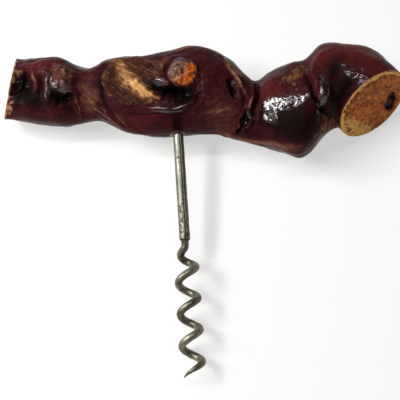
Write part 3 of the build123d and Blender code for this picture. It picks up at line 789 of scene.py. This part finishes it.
def sawn_face(name, end, middle, with_hole, seed):
    """Straight lines from the middle to each point of the skin's end ring, dented by cracks and saw marks."""
    rim = skin_points[end]
    facing = ring_ahead[end] * (1 if end else -1)
    spokes = rim - middle
    reach = np.linalg.norm(spokes, axis=1, keepdims=True)
    spokes = spokes / reach
    clock = np.degrees(np.arctan2(spokes @ ring_up[end], spokes @ ring_back[end])) % 360
    taller = np.hypot(np.cos(np.radians(clock)), np.sin(np.radians(clock)) / PITH_TALLER)
    torn = 1 + TORN_SHARE * lumps(middle + 3 * spokes, TORN_SIZE, seed + 2)
    profile = PITH_PROFILE if with_hole else FLAT_PROFILE
    first, depths = profile[:, :1] * PITH_RADIUS * torn / taller, profile[:, 1]
    shares = np.linspace(0, 1, FACE_RINGS)[1:, None]
    out = np.vstack((first, first[-1] + shares * (reach[:, 0] - first[-1])))
    sunk = np.vstack((np.tile(depths[:, None], PLACES), np.zeros((len(shares), PLACES))))
    points = middle + out[..., None] * spokes
    edge = reach[:, 0] - out
    flat = np.clip(edge / FLAT_RIM, 0, 1) * (sunk == 0)
    for angle, width, depth in END_CRACKS:
        bend = CRACK_BEND * np.sin(out / CRACK_WAVE + angle)
        away = np.abs((clock[None] - angle + bend + 180) % 360 - 180)
        sunk += flat * depth * np.exp(-(away / width) ** 2) * np.clip(out / CRACK_FROM, 0, 1)
    saw = points @ slanted(ring_up[end], ring_back[end])
    uneven = layered(points, [(*lump, seed + step) for step, lump in enumerate(FACE_LUMPS)])
    sunk += flat * (SAW_DEPTH * np.sin(saw * SAW_WAVES) + uneven)
    sunk[-1] = 0
    points = points - sunk[..., None] * facing
    lower_left = -(points - ring_middles[end]) @ slanted(ring_back[end], ring_up[end])
    upper = with_hole * np.clip(2 * spokes @ slanted(ring_up[end], -ring_back[end]), 0, 1)
    ragged_edge = edge + RIM_WANDER * lumps(points, RIM_WANDER_SIZE, seed + 3)
    dark_line = np.exp(-((ragged_edge - DARK_LINE_AT) / DARK_LINE) ** 2)
    upper_rim = upper * (np.exp(-(ragged_edge / PALE_RIM) ** 4) - DARK_LINE_STRENGTH * dark_line)
    face = grid_piece(name, points, close_start=True, flip=bool(end), from_pith=out, lower_left=lower_left,
                      upper_rim=upper_rim, sunk=sunk)
    return face


pith = ring_middles[-1] + PITH_ASIDE * ring_back[-1] + PITH_UP * ring_up[-1]
right_face = sawn_face("sawn_right_face", -1, pith, True, 51)
left_face = sawn_face("sawn_left_face", 0, ring_middles[0] + LEFT_ASIDE * ring_back[0], False, 61)

# %% [markdown]
# The twig stub is what is left of a shoot that was cut close to the stock. It is a low dome with a few
# growth rings and a small sunken pith, turned about the stub's axis, and its wall runs down into the bark.

# %% Twig stub
STUB_PLACE = np.array((3.5, 17.6, 28.3)) + drawing_shift
STUB_AXIS = np.array((0.05, -0.35, 0.94))
STUB_PLACES = 96
# radius as a share of the stub's and height above the bark, from the pith to the foot of the wall
STUB_PROFILE = np.array(((0.03, 1.9), (0.10, 2.0), (0.16, 2.4), (0.40, 2.45), (0.65, 2.0), (0.85, 1.3),
                         (0.97, 0.4), (1.02, -0.6), (1.06, -2.2), (1.08, -4.0)))
STUB_RINGS = 60
GROWTH_SPACING, GROWTH_HEIGHT, GROWTH_REACH = 1.3, 0.05, 0.85
GROWTH_WANDER, GROWTH_WANDER_SIZE = 0.5, 4.0
STUB_UNEVEN, STUB_UNEVEN_SIZE = 0.05, 6.0
# height, size and seed of the lumps on the cut
STUB_LUMPS = ((0.16, 2.0, 72), (0.07, 1.0, 74))


def profile_steps(profile, count):
    """The two columns of a profile at even steps along its rows, each as a column."""
    steps = np.linspace(0, len(profile) - 1, count)
    return (np.interp(steps, np.arange(len(profile)), column)[:, None] for column in profile.T)


def full_turn(places):
    """Angles of places round a circle."""
    return np.linspace(0, 2 * np.pi, places, endpoint=False)


def spokes_at(angle, right, upper):
    """Directions at each angle, turned from right towards upper."""
    return np.cos(angle)[:, None] * right + np.sin(angle)[:, None] * upper


def twig_stub():
    """The profile carried round the axis; growth rings and lumps roughen its top."""
    axis = STUB_AXIS / np.linalg.norm(STUB_AXIS)
    right = np.cross((0.0, 1.0, 0.0), axis)
    right /= np.linalg.norm(right)
    upper = np.cross(axis, right)
    radius, height = profile_steps(STUB_PROFILE, STUB_RINGS)
    radius *= STUB_RADIUS
    spokes = spokes_at(full_turn(STUB_PLACES), right, upper)
    flat = STUB_PLACE + radius[..., None] * spokes + height[..., None] * axis
    uneven = 1 + STUB_UNEVEN * lumps(flat, STUB_UNEVEN_SIZE, 71)
    wander = radius + GROWTH_WANDER * lumps(flat, GROWTH_WANDER_SIZE, 73)
    growth = GROWTH_HEIGHT * np.sin(wander * 2 * np.pi / GROWTH_SPACING)
    growth *= radius < GROWTH_REACH * STUB_RADIUS
    rise = height + growth + layered(flat, STUB_LUMPS)
    points = STUB_PLACE + (radius * uneven)[..., None] * spokes + rise[..., None] * axis
    amber = (flat - STUB_PLACE) @ slanted(right, -upper) / STUB_RADIUS
    stub = grid_piece("twig_stub", points, close_start=True, from_pith=radius, amber=amber)
    return stub


stub = twig_stub()

# %% [markdown]
# The steel worm. Its wire runs straight down the shank, opens out into a right-handed helix and tapers to a
# point on the last half turn. A circle is carried along that line; the frame that carries it turns with the
# helix.

# %% Worm
WIRE_D = 2.8
WORM_OD = 9.5
WORM_PITCH = 11.4
WORM_TURNS = 4.29
WORM_START_ANGLE = 55.0
WORM_START = 43.1
LEAD_IN_TURNS = 0.70
POINT_TURNS = 0.5
POINT_D = 0.5
POINT_TAPER_POWER = 1.5
SLEEVE_GRIP = 13.0
SHANK_LENGTH = 42.3
WIRE_PLACES = 32
STRAIGHT_RINGS, HELIX_RINGS = 90, 520
WIRE_UNEVEN, WIRE_UNEVEN_SIZE = 0.018, 2.2
shank_mouth = np.array((0.0, 0.0, 13.0)) + drawing_shift
shank_way = np.array(mounts["shank"]["axis"])
shank_right = np.array((1.0, 0.0, 0.0))
shank_up = np.cross(shank_way, shank_right)


def wire_line(turns):
    """Points of a helix about the shank's axis; before turn 0 the wire is straight on the axis."""
    opened = np.clip(turns / LEAD_IN_TURNS, 0, 1)
    radius = (WORM_OD - WIRE_D) / 2 * opened ** 2 * (3 - 2 * opened)
    angle = np.radians(WORM_START_ANGLE) + 2 * np.pi * np.clip(turns, 0, None)
    away = spokes_at(angle, shank_right, shank_up)
    reach = WORM_START + turns * WORM_PITCH
    return shank_mouth + reach[:, None] * shank_way + radius[:, None] * away, away


def worm_wire():
    """A circle carried along the wire's line, thinner towards the point and slightly uneven."""
    straight = np.linspace(-(SLEEVE_GRIP + WORM_START) / WORM_PITCH, 0, STRAIGHT_RINGS, endpoint=False)
    turns = np.concatenate((straight, np.linspace(0, WORM_TURNS, HELIX_RINGS)))
    line, away = wire_line(turns)
    ahead = np.gradient(line, axis=0)
    ahead /= np.linalg.norm(ahead, axis=1, keepdims=True)
    side = away - (away * ahead).sum(axis=1, keepdims=True) * ahead
    side /= np.linalg.norm(side, axis=1, keepdims=True)
    other = np.cross(ahead, side)
    share = np.clip((turns - WORM_TURNS + POINT_TURNS) / POINT_TURNS, 0, 1)
    radius = (WIRE_D + (POINT_D - WIRE_D) * share ** POINT_TAPER_POWER) / 2
    spokes = spokes_at(full_turn(WIRE_PLACES), side[:, None], other[:, None])
    points = line[:, None] + radius[:, None, None] * spokes
    points = points + WIRE_UNEVEN * lumps(points, WIRE_UNEVEN_SIZE, 81)[..., None] * spokes
    age = np.exp(-np.clip(turns, 0, None))
    worm = grid_piece("worm_wire", points, close_start=True, close_end=True, flip=True, age=age[:, None])
    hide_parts("worm")
    return worm


worm = worm_wire()

# %% [markdown]
# The sleeve is a strip of steel rolled round the straight of the wire, with an open seam along it. Its
# section is a C with rounded lips: out along the outer arc and back along the inner one. The ends are drawn
# together to the middle of the wall, which rounds and closes them.

# %% Shank sleeve
SLEEVE_WALL = 0.55
SLEEVE_ID = 2.9
SLEEVE_SEAM = 0.3
SLEEVE_SEAM_ANGLE = 72.0
SLEEVE_ROUNDING = 0.25
SLEEVE_THINNEST = 0.01
SLEEVE_UNEVEN, SLEEVE_UNEVEN_SIZE, SLEEVE_STRETCH = 0.02, 2.5, (1, 3, 1)
LIP_LENGTH, LIP_STEPS = 0.45, 7
ARC_PLACES = 56
SLEEVE_RINGS = 150
# How far the rings close to each end are from it
END_STEPS = np.array((0, 0.06, 0.2))
EVEN_FROM = 0.5


def sleeve_section():
    """Angle and place in the wall (0 inside, 1 outside) of each point round the C, each lip a half turn."""
    lip = np.degrees(SLEEVE_SEAM / SLEEVE_ID)
    outer = np.linspace(lip, 360 - lip, ARC_PLACES)
    nose = np.linspace(90, -90, LIP_STEPS)[1:-1]
    nose_angle = 360 - lip + lip * LIP_LENGTH * np.cos(np.radians(nose))
    nose_wall = 0.5 + 0.5 * np.sin(np.radians(nose))
    angle = np.concatenate((outer, nose_angle, outer[::-1], 360 - nose_angle[::-1]))
    wall = np.concatenate((np.ones(ARC_PLACES), nose_wall, np.zeros(ARC_PLACES), nose_wall[::-1]))
    return np.radians(angle + SLEEVE_SEAM_ANGLE), wall


def rolled_sleeve():
    """The C carried along the shank; its wall thins to nothing at each end."""
    angle, wall = sleeve_section()
    length = SHANK_LENGTH + SLEEVE_GRIP
    even = np.linspace(EVEN_FROM, length - EVEN_FROM, SLEEVE_RINGS - 2 * len(END_STEPS))
    reach = np.concatenate((END_STEPS, even, length - END_STEPS[::-1])) - SLEEVE_GRIP
    to_end = np.minimum(reach + SLEEVE_GRIP, SHANK_LENGTH - reach)
    full = np.sqrt(np.clip(1 - (1 - np.clip(to_end / SLEEVE_ROUNDING, 0, 1)) ** 2, SLEEVE_THINNEST, 1))
    place = 0.5 + (wall[None] - 0.5) * full[:, None]
    radius = SLEEVE_ID / 2 + SLEEVE_WALL * place
    spokes = spokes_at(angle, shank_right, shank_up)
    points = shank_mouth + reach[:, None, None] * shank_way + radius[..., None] * spokes
    uneven = SLEEVE_UNEVEN * lumps(points / SLEEVE_STRETCH, SLEEVE_UNEVEN_SIZE, 91)
    points = points + uneven[..., None] * spokes
    age = np.clip(reach / SHANK_LENGTH, 0, 1) ** 2
    sleeve = grid_piece("rolled_sleeve", points, flip=True, age=age[:, None])
    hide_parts("shank_sleeve")
    return sleeve


sleeve = rolled_sleeve()

# %% [markdown]
# A little glue was squeezed out where the shank goes into the wood, and set as an uneven collar. It is a
# rounded profile turned about the shank, stirred with lumps, with its foot below the skin.

# %% Glue bead
BEAD_PLACES = 72
# radius and height above the mouth, from the foot in the wood over the crown to the sleeve
BEAD_PROFILE = np.array(((2.4, -3.0), (3.0, -1.4), (3.1, -0.5), (2.9, 0.2), (2.6, 0.5), (2.3, 0.6),
                         (2.0, 0.55), (1.95, 0.3), (1.95, -3.0)))
BEAD_RINGS = 40
BEAD_UNEVEN_FROM, BEAD_UNEVEN, BEAD_UNEVEN_SIZE = 2.1, 0.22, 3.2


def glue_bead():
    """The bead's profile carried round the shank, its crown higher in some places than in others."""
    radius, height = profile_steps(BEAD_PROFILE, BEAD_RINGS)
    spokes = spokes_at(full_turn(BEAD_PLACES), shank_right, shank_up)
    even = shank_mouth + radius[..., None] * spokes + height[..., None] * shank_way
    swell = np.clip(radius - BEAD_UNEVEN_FROM, 0, 1) * BEAD_UNEVEN * lumps(even, BEAD_UNEVEN_SIZE, 95)
    points = even + swell[..., None] * (spokes + shank_way)
    bead = grid_piece("glue_bead", points)
    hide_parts("set_glue")
    return bead


bead = glue_bead()

# %% [markdown]
# Finishes. Two small classes keep the node trees readable. A Number is an output of a node, and sums and
# products of Numbers add Math nodes, so that a finish reads like a formula. A Finish is a material, and
# most of its methods add one node. Patterns read Object coordinates, which are metres in the frame of the
# part, so a pattern's scale is one over its size.


# %% Numbers that are nodes
class Number:
    """An output of a node. Adding to it, subtracting and multiplying each add a Math node to its finish."""

    def __init__(self, finish, socket):
        self.finish = finish
        self.socket = socket

    def __add__(self, other):
        return self.finish.math("ADD", self, other)

    def __sub__(self, other):
        return self.finish.math("SUBTRACT", self, other)

    def __rsub__(self, other):
        return self.finish.math("SUBTRACT", other, self)

    def __mul__(self, other):
        return self.finish.math("MULTIPLY", self, other)

    __radd__ = __add__
    __rmul__ = __mul__


# %% Helpers for the finishes
class Finish:
    """A material with a Principled shader. Numbers that are the same all over are set on the shader."""

    def __init__(self, name, **constants):
        self.material = bpy.data.materials.new(name)
        self.material.use_nodes = True
        self.nodes = self.material.node_tree.nodes
        self.shade(**constants)

    def wire(self, socket, value):
        """Links a Number to a socket, or sets the socket to a plain number or colour."""
        if isinstance(value, Number):
            self.material.node_tree.links.new(value.socket, socket)
        else:
            socket.default_value = value

    def shade(self, **values):
        """Wires values into the shader's sockets, by their names."""
        shader = self.nodes["Principled BSDF"]
        for name, value in values.items():
            self.wire(shader.inputs[name.replace("_", " ")], value)

    def add(self, kind, output, inputs, **settings):
        """A node of the given kind, its settings made and its inputs wired; gives one of its outputs."""
        node = self.nodes.new("ShaderNode" + kind)
        for name, value in settings.items():
            setattr(node, name, value)
        for name, value in inputs.items():
            self.wire(node.inputs[name], value)
        return Number(self, node.outputs[output])

    def place(self):
        """Object coordinates."""
        return self.add("TexCoord", "Object", {})

    def stored(self, name, output="Fac"):
        """A number that was stored at the piece's points, or a vector."""
        return self.add("Attribute", output, {}, attribute_name=name)

    def stretched(self, vector, scale):
        """A vector multiplied along its three axes."""
        return self.add("Mapping", "Vector", {"Vector": vector, "Scale": scale})

    def noise(self, vector, size, detail=3.0, roughness=0.55):
        """Cloudy noise with patches of about the given size."""
        inputs = {"Vector": vector, "Scale": 1 / size, "Detail": detail, "Roughness": roughness}
        return self.add("TexNoise", "Fac", inputs)

    def math(self, operation, first, second=0.0):
        """One operation on two numbers, or on the first alone."""
        return self.add("Math", 0, {0: first, 1: second}, operation=operation)

    def ramp(self, value, low, high, start=0.0, end=1.0):
        """Runs from start to end, with soft ends, as the value goes from low to high."""
        inputs = {"Value": value, "From Min": low, "From Max": high, "To Min": start, "To Max": end}
        return self.add("MapRange", "Result", inputs, interpolation_type="SMOOTHSTEP")

    def blend(self, share, first, second):
        """A colour between two others; inputs 6 and 7 and output 2 of the Mix node are those for colours."""
        first, second = (value if isinstance(value, Number) else (*value, 1.0) for value in (first, second))
        return self.add("Mix", 2, {0: share, 6: first, 7: second}, data_type="RGBA")

    def colours(self, value, *stops):
        """A colour that runs through several stops, each a place from 0 to 1 and a colour."""
        node = self.nodes.new("ShaderNodeValToRGB")
        self.wire(node.inputs["Fac"], value)
        for place, _ in stops[2:]:
            node.color_ramp.elements.new(place)
        for element, (place, colour) in zip(node.color_ramp.elements, stops):
            element.position = place
            element.color = (*colour, 1.0)
        return Number(self, node.outputs["Color"])

    def bumps(self, height, distance):
        """Turns a height into the tilt of the surface; distance is the full height in metres."""
        return self.add("Bump", "Normal", {"Height": height, "Distance": distance, "Strength": 1.0})


def coat_with(piece, finish):
    """Gives a piece its only material."""
    piece.data.materials.append(finish.material)
    print(piece.name, "is finished with", finish.material.name)


# %% [markdown]
# The skin's finish is built up in layers, much as the real one was. First comes the lacquer, between a deep
# aubergine and a red, flaked with brown. It is painted redder and lighter on the front low down, as painted
# light thrown up from the table, and painted near black as shade below the shine and in the valleys, with one
# small real stain. Where it is worn the brown bark shows, mottled by streaks and flakes; the crests are
# painted paler the same way, partly wear and partly painted highlight. Where the bark is gone there is bare
# wood, streaked along its grain, and last of all painted shade darkens the creases and hollows. The clear
# coat is left only in patches, and there the surface is broken into small facets, so that the shine comes
# out in flecks as it does on the old lacquer.

# %% Lacquered skin
LACQUER_DEEP = (0.028, 0.0042, 0.0068)
LACQUER_RED = (0.076, 0.0105, 0.0105)
LACQUER_BLACK = (0.003, 0.0012, 0.0014)
FLAKE_SHARE = 0.36
WORN_DARK = (0.088, 0.028, 0.017)
WORN_PALE = (0.23, 0.115, 0.075)
WOOD_SHADE = (0.030, 0.011, 0.007)
WOOD_BROWN = (0.13, 0.050, 0.023)
WOOD_TAN = (0.40, 0.20, 0.085)
WOOD_GOLD = (0.66, 0.34, 0.105)
WOOD_PALE = (0.82, 0.55, 0.27)
GRIME = (0.003, 0.002, 0.002)
# Sizes of the skin's noises in metres
CLOUD_SIZE, FLAKE_SIZE, FLECK_SIZE, GRIT_SIZE = 0.014, 0.0022, 0.0017, 0.0009
# The streaks are long along the grain and narrow across it
GRAIN_SCALE = (0.13, 1.9, 1.0)
LACQUER_ROUGHNESS, DULL_ROUGHNESS = 0.21, 0.42
SKIN_BUMP = 0.0003


def lacquered_vine():
    """Lacquer, worn bark, bare wood and painted shade laid over each other by the stored masks."""
    finish = Finish("lacquered_vine", IOR=1.1, Coat_IOR=1.6, Coat_Roughness=0.09)
    place = finish.place()
    cloudy = finish.noise(place, CLOUD_SIZE, detail=4)
    flake = finish.noise(place, FLAKE_SIZE, detail=6, roughness=0.7)
    along_grain = finish.stretched(finish.stored("grain", "Vector"), GRAIN_SCALE)
    streak = finish.noise(along_grain, 1.0, detail=5, roughness=0.65)
    stained = finish.stored("stained")
    # Redder in the red patches, and on the front low down as painted light thrown up from the table
    redder = finish.ramp(finish.stored("reddish") + (cloudy - 0.5), 0.0, 0.9)
    lacquer = finish.blend(redder, LACQUER_DEEP, LACQUER_RED)
    lacquer = finish.blend(finish.ramp(flake, 0.42, 0.75, 0.0, FLAKE_SHARE), lacquer, WORN_DARK)
    # Painted shade: near black below the shine, in the valleys and a crease, with one real stain above the
    # shank
    lacquer = finish.blend(stained, lacquer, LACQUER_BLACK)
    # This mask also paints the crests paler, partly wear and partly painted highlight
    mottled = finish.stored("worn") * (streak * 0.6 + flake * 0.4)
    worn = finish.ramp(mottled, 0.16, 0.42)
    bark = finish.blend(finish.ramp(mottled, 0.26, 0.60), WORN_DARK, WORN_PALE)
    colour = finish.blend(worn, lacquer, bark)
    fibrous = finish.stored("fibrous")
    streaky = finish.ramp(fibrous, 0.0, 1.0, 0.15, 0.65)
    pattern = streak * streaky + flake * (1.0 - streaky)
    contrast = (pattern - 0.5) * finish.ramp(fibrous, 0.0, 0.6, 1.3, 2.1)
    wood = finish.colours(finish.stored("golden") + contrast, (0.0, WOOD_SHADE), (0.22, WOOD_BROWN),
                          (0.5, WOOD_TAN), (0.8, WOOD_GOLD), (1.0, WOOD_PALE))
    bare = finish.ramp(finish.stored("bare") * (pattern + 0.5), 0.38, 0.62)
    colour = finish.blend(bare, colour, wood)
    # Painted shade: creases, hollows and the crevice under the stub darkened to near black
    colour = finish.blend(finish.stored("grime"), colour, GRIME)
    torn = finish.math("MAXIMUM", bare, worn)
    dull = finish.math("MAXIMUM", torn, stained)
    gloss = finish.stored("gloss")
    coat = finish.ramp(gloss + (flake - 0.5), 0.5, 0.85) * (1.0 - bare)
    speck = finish.noise(place, GRIT_SIZE, detail=3, roughness=0.6)
    fleck = finish.noise(place, FLECK_SIZE, detail=1)
    gritty = (speck - 0.5) * finish.ramp(gloss, 0.0, 1.0, 0.12, 0.34)
    flecked = (fleck - 0.5) * finish.stored("broken")
    tilt = finish.bumps(gritty + flecked + pattern * torn, SKIN_BUMP)
    finish.shade(Base_Color=colour, Roughness=LACQUER_ROUGHNESS + dull * DULL_ROUGHNESS, Coat_Weight=coat,
                 Normal=tilt, Coat_Normal=tilt)
    return finish


coat_with(vine_skin, lacquered_vine())

# %% [markdown]
# End grain: brown to tan wood with faint growth rings round the pith. It is gold at the lower left, far
# from the pith, and along the upper rim, where a dark line follows the bark. The cracks and the pith hole
# are painted dark as shade, greyer in blotches at the bottom of the hole. The colours are painted light,
# brighter than the wood's own because the right end faces away from the lamps; the left end has the same
# wood, toned darker because the left lamp lights it.

# %% End grain
# Painted light: these colours are brighter than the wood's own, as the right end faces away from the lamps
END_DARK = (0.17, 0.042, 0.013)
END_BROWN = (0.46, 0.118, 0.024)
END_TAN = (0.78, 0.26, 0.052)
END_GOLD = (0.95, 0.52, 0.13)
PITH_GREY = (0.40, 0.31, 0.29)
# How strongly each end takes those colours, as painted light: the left end is lit by the left lamp, so it is
# darker
RIGHT_TINT, LEFT_TINT = 1.0, 0.42
RING_WAVES, RING_WOBBLE, RING_SHARE = 4.6, 3.0, 0.018
END_BUMP = 0.0009


def end_grain(name, tint):
    """Rings by distance from the pith, blotches, gold at the lower left, painted shade where it is sunk.
    The tint scales every colour as painted light.
    """
    finish = Finish(name, IOR=1.25)
    dark, brown, tan, gold_wood = (tuple(tint * part for part in wood)
                                   for wood in (END_DARK, END_BROWN, END_TAN, END_GOLD))
    place = finish.place()
    blotch = finish.noise(place, 0.0035, detail=6, roughness=0.7)
    speck = finish.noise(place, 0.0011, detail=4, roughness=0.6)
    wobbly = finish.stored("from_pith") + finish.noise(place, 0.006) * RING_WOBBLE
    rings = finish.math("SINE", wobbly * RING_WAVES)
    tone = rings * RING_SHARE + (blotch * 0.6 + speck * 0.4)
    colour = finish.colours(tone, (0.38, dark), (0.48, brown), (0.59, tan))
    far = finish.ramp(finish.stored("lower_left") + (blotch * 9.0 + speck * 4.0), 11.0, 17.0)
    upper_rim = finish.stored("upper_rim")
    gold = finish.math("MAXIMUM", far * (speck + 0.25), upper_rim * (blotch + 0.5))
    colour = finish.blend(finish.ramp(gold, 0.3, 0.95), colour, gold_wood)
    colour = finish.blend(finish.ramp(upper_rim, -0.9, -0.2, 0.85, 0.0), colour, dark)
    # Painted shade: cracks and the pith hole darken the deeper they are sunk, greyer in blotches at the
    # hole's bottom
    sunk = finish.stored("sunk")
    deep = finish.ramp(sunk, 1.6, 3.0) * finish.ramp(blotch, 0.40, 0.62)
    hollow = finish.blend(deep, GRIME, PITH_GREY)
    colour = finish.blend(finish.ramp(sunk, 0.15, 1.6, 0.0, 0.97), colour, hollow)
    finish.shade(Base_Color=colour, Roughness=finish.ramp(blotch, 0.3, 0.7, 0.6, 0.85),
                 Normal=finish.bumps(tone, END_BUMP))
    return finish


coat_with(right_face, end_grain("end_grain_right", RIGHT_TINT))
coat_with(left_face, end_grain("end_grain_left", LEFT_TINT))

# %% [markdown]
# The stub's cut is amber on one side, as if it had drunk varnish, and grey-brown on the weathered one, with
# dark specks and growth rings. The lacquer of the bark runs over its border, which wanders in and out.

# %% Twig stub's finish
STUB_AMBER = (0.52, 0.10, 0.007)
STUB_GREY = (0.145, 0.066, 0.040)
STUB_DARK = (0.030, 0.010, 0.008)
STUB_RING_WAVES, STUB_RING_WOBBLE, STUB_RING_SHARE = 4.5, 5.0, 0.07
STUB_BORDER_WANDER, STUB_BORDER_FROM, STUB_BORDER_TO = 4.0, 1.10 * STUB_RADIUS, 1.36 * STUB_RADIUS
STUB_BUMP = 0.00025


def twig_end():
    """Amber to grey across the cut, dark rings by the distance from the pith, and lacquer past the border."""
    finish = Finish("twig_end", IOR=1.3)
    place = finish.place()
    speck = finish.noise(place, 0.0014, detail=4)
    cloudy = finish.noise(place, 0.005, detail=3)
    from_pith = finish.stored("from_pith")
    side = finish.stored("amber") + (cloudy - 0.5)
    colour = finish.blend(finish.ramp(side, -0.35, 0.45), STUB_GREY, STUB_AMBER)
    rings = finish.math("SINE", (from_pith + cloudy * STUB_RING_WOBBLE) * STUB_RING_WAVES) * STUB_RING_SHARE
    colour = finish.blend(finish.ramp(rings + speck, 0.46, 0.76), colour, STUB_DARK)
    border = finish.ramp(from_pith + cloudy * STUB_BORDER_WANDER, STUB_BORDER_FROM, STUB_BORDER_TO)
    colour = finish.blend(border, colour, LACQUER_DEEP)
    finish.shade(Base_Color=colour, Roughness=finish.ramp(speck, 0.3, 0.7, 0.3, 0.5),
                 Normal=finish.bumps(speck, STUB_BUMP))
    return finish


coat_with(stub, twig_end())

# %% [markdown]
# The steel is old: a grey-brown patina with rust in spots, most of them at the lower end of the sleeve and
# on the first coils, where age was stored. Brightness, roughness and rust come from the same noises, so a
# rust spot is dark, rough and less metallic.

# %% Steel
WORM_STEEL = (0.092, 0.083, 0.058)
WORM_BRIGHT = (0.235, 0.218, 0.165)
SLEEVE_STEEL = (0.12, 0.117, 0.091)
SLEEVE_BRIGHT = (0.22, 0.215, 0.176)
RUST = (0.10, 0.056, 0.029)
STAIN = (0.028, 0.020, 0.014)
SCRATCH_SCALE = (1.0, 0.08, 1.0)
AGE_SHARE = 0.13
RUST_ROUGHNESS = 0.3
STEEL_BUMP = 0.00008


def aged_steel(name, base, bright, rust_from, stain_size):
    """Steel between two greys, with stains and rust that are rough and hardly metallic."""
    finish = Finish(name, IOR=1.5)
    place = finish.place()
    cloudy = finish.noise(place, 0.006, detail=4)
    scratch = finish.noise(finish.stretched(place, SCRATCH_SCALE), 0.0006, detail=2)
    pit = finish.noise(place, stain_size, detail=4, roughness=0.65)
    colour = finish.blend(finish.ramp(cloudy + scratch * 0.3, 0.4, 0.85), base, bright)
    older = cloudy * 0.3 + finish.stored("age") * AGE_SHARE
    rusty = finish.ramp(pit + older, rust_from, rust_from + 0.1)
    stain = finish.blend(finish.ramp(cloudy, 0.45, 0.7), STAIN, RUST)
    colour = finish.blend(rusty, colour, stain)
    rough = finish.ramp(scratch, 0.3, 0.7, 0.42, 0.56) + rusty * RUST_ROUGHNESS
    finish.shade(Base_Color=colour, Roughness=rough, Metallic=finish.ramp(rusty, 0.0, 1.0, 1.0, 0.2),
                 Normal=finish.bumps(scratch * 0.15 - rusty * 0.5, STEEL_BUMP))
    return finish


coat_with(worm, aged_steel("worm_steel_aged", WORM_STEEL, WORM_BRIGHT, 0.73, 0.0024))
coat_with(sleeve, aged_steel("sleeve_steel_aged", SLEEVE_STEEL, SLEEVE_BRIGHT, 0.74, 0.0014))

# %% [markdown]
# Set glue: a dark red, glossy drop that took up some of the lacquer's colour. One noise is enough here, for
# its two reds, its shine and its slight unevenness.

# %% Glue
GLUE_RED = (0.10, 0.022, 0.016)
GLUE_DARK = (0.03, 0.007, 0.006)
GLUE_BUMP = 0.0001


def set_glue():
    """Two reds by noise, glossy, slightly uneven."""
    finish = Finish("set_glue", IOR=1.5)
    cloudy = finish.noise(finish.place(), 0.002, detail=3)
    finish.shade(Base_Color=finish.blend(finish.ramp(cloudy, 0.35, 0.65), GLUE_DARK, GLUE_RED),
                 Roughness=finish.ramp(cloudy, 0.3, 0.7, 0.12, 0.3), Normal=finish.bumps(cloudy, GLUE_BUMP))
    return finish


coat_with(bead, set_glue())

# %% [markdown]
# The stage: a pale table with four far walls, two long lamps and a dim even sky. The first lamp hangs
# overhead, a little behind the handle and along it, and makes the broken shine on the lacquer. The second
# stands to the left and runs the way that the shank points, so that the shadow of the shank on the table is
# a clear band. The table, lit by both, lights the front of the handle from below. To the camera and in
# reflections it glows a little, which makes it white without more light on the tool, and it still takes the
# shadows.

# %% Table and light
# The stage is measured in metres
TABLE_HALF = 2.0
WALL_HEIGHT = 1.0
TABLE_WHITE = (0.92, 0.92, 0.91)
TABLE_DULLER = 0.97
# place, what it is aimed at, direction of its length, length, width, watts
LAMPS = {
    "back_lamp": ((-0.34, 0.145, 0.56), (-0.06, 0.02, 0.0), (1.0, 0.0, 0.0), 1.12, 0.06, 3.4),
    "left_lamp": ((-0.50, 0.07, 0.48), (-0.01, -0.02, 0.0), (0.0, 1.0, 0.0), 0.40, 0.10, 5.2),
}
SKY_STRENGTH = 0.10
TABLE_GLOW = 0.62


def table_white():
    """Two whites by noise; camera and glossy rays see the shader mixed with a plain white glow."""
    finish = Finish("table_white", Roughness=0.6, IOR=1.3)
    cloud = finish.noise(finish.place(), 0.05)
    duller = tuple(TABLE_DULLER * part for part in TABLE_WHITE)
    finish.shade(Base_Color=finish.blend(cloud, TABLE_WHITE, duller))
    rays = (finish.add("LightPath", ray, {}) for ray in ("Is Camera Ray", "Is Glossy Ray"))
    seen = finish.math("MAXIMUM", *rays)
    glow = finish.add("Emission", 0, {"Color": (*TABLE_WHITE, 1.0)})
    lit = Number(finish, finish.nodes["Principled BSDF"].outputs[0])
    both = finish.add("MixShader", 0, {0: seen * TABLE_GLOW, 1: lit, 2: glow})
    finish.wire(finish.nodes["Material Output"].inputs["Surface"], both)
    return finish


def table():
    """A flat sheet under the tool and four far walls."""
    corners = np.array(((-1, -1, 0), (1, -1, 0), (1, 1, 0), (-1, 1, 0))) * TABLE_HALF
    corners = np.vstack((corners, corners + (0, 0, WALL_HEIGHT)))
    faces = [(0, 1, 2, 3), (1, 0, 4, 5), (2, 1, 5, 6), (3, 2, 6, 7), (0, 3, 7, 4)]
    mesh = bpy.data.meshes.new("table")
    mesh.from_pydata(corners.tolist(), [], faces)
    floor = linked("table", mesh)
    return floor


def long_lamp(name, place, aim, long_way, length, width, watts):
    """A rectangular lamp whose back points away from what it is aimed at, its length along a given way."""
    light = bpy.data.lights.new(name, "AREA")
    light.shape = "RECTANGLE"
    light.size, light.size_y = length, width
    light.energy = watts
    back = np.array(place) - aim
    back /= np.linalg.norm(back)
    across = np.cross(back, long_way)
    across /= np.linalg.norm(across)
    lamp = linked(name, light)
    lamp.matrix_world = standing(np.cross(across, back), across, back, place)
    print(name, watts, "W over", length, "by", width, "m")


coat_with(table(), table_white())
for name, lamp in LAMPS.items():
    long_lamp(name, *lamp)
world = bpy.data.worlds.new("dim_sky")
world.use_nodes = True
sky = world.node_tree.nodes["Background"]
sky.inputs["Strength"].default_value = SKY_STRENGTH
sky.inputs["Color"].default_value = (1.0, 1.0, 1.0, 1.0)
bpy.context.scene.world = world
bpy.context.scene.view_settings.view_transform = "Standard"
print("sky", SKY_STRENGTH, "table glow", TABLE_GLOW)
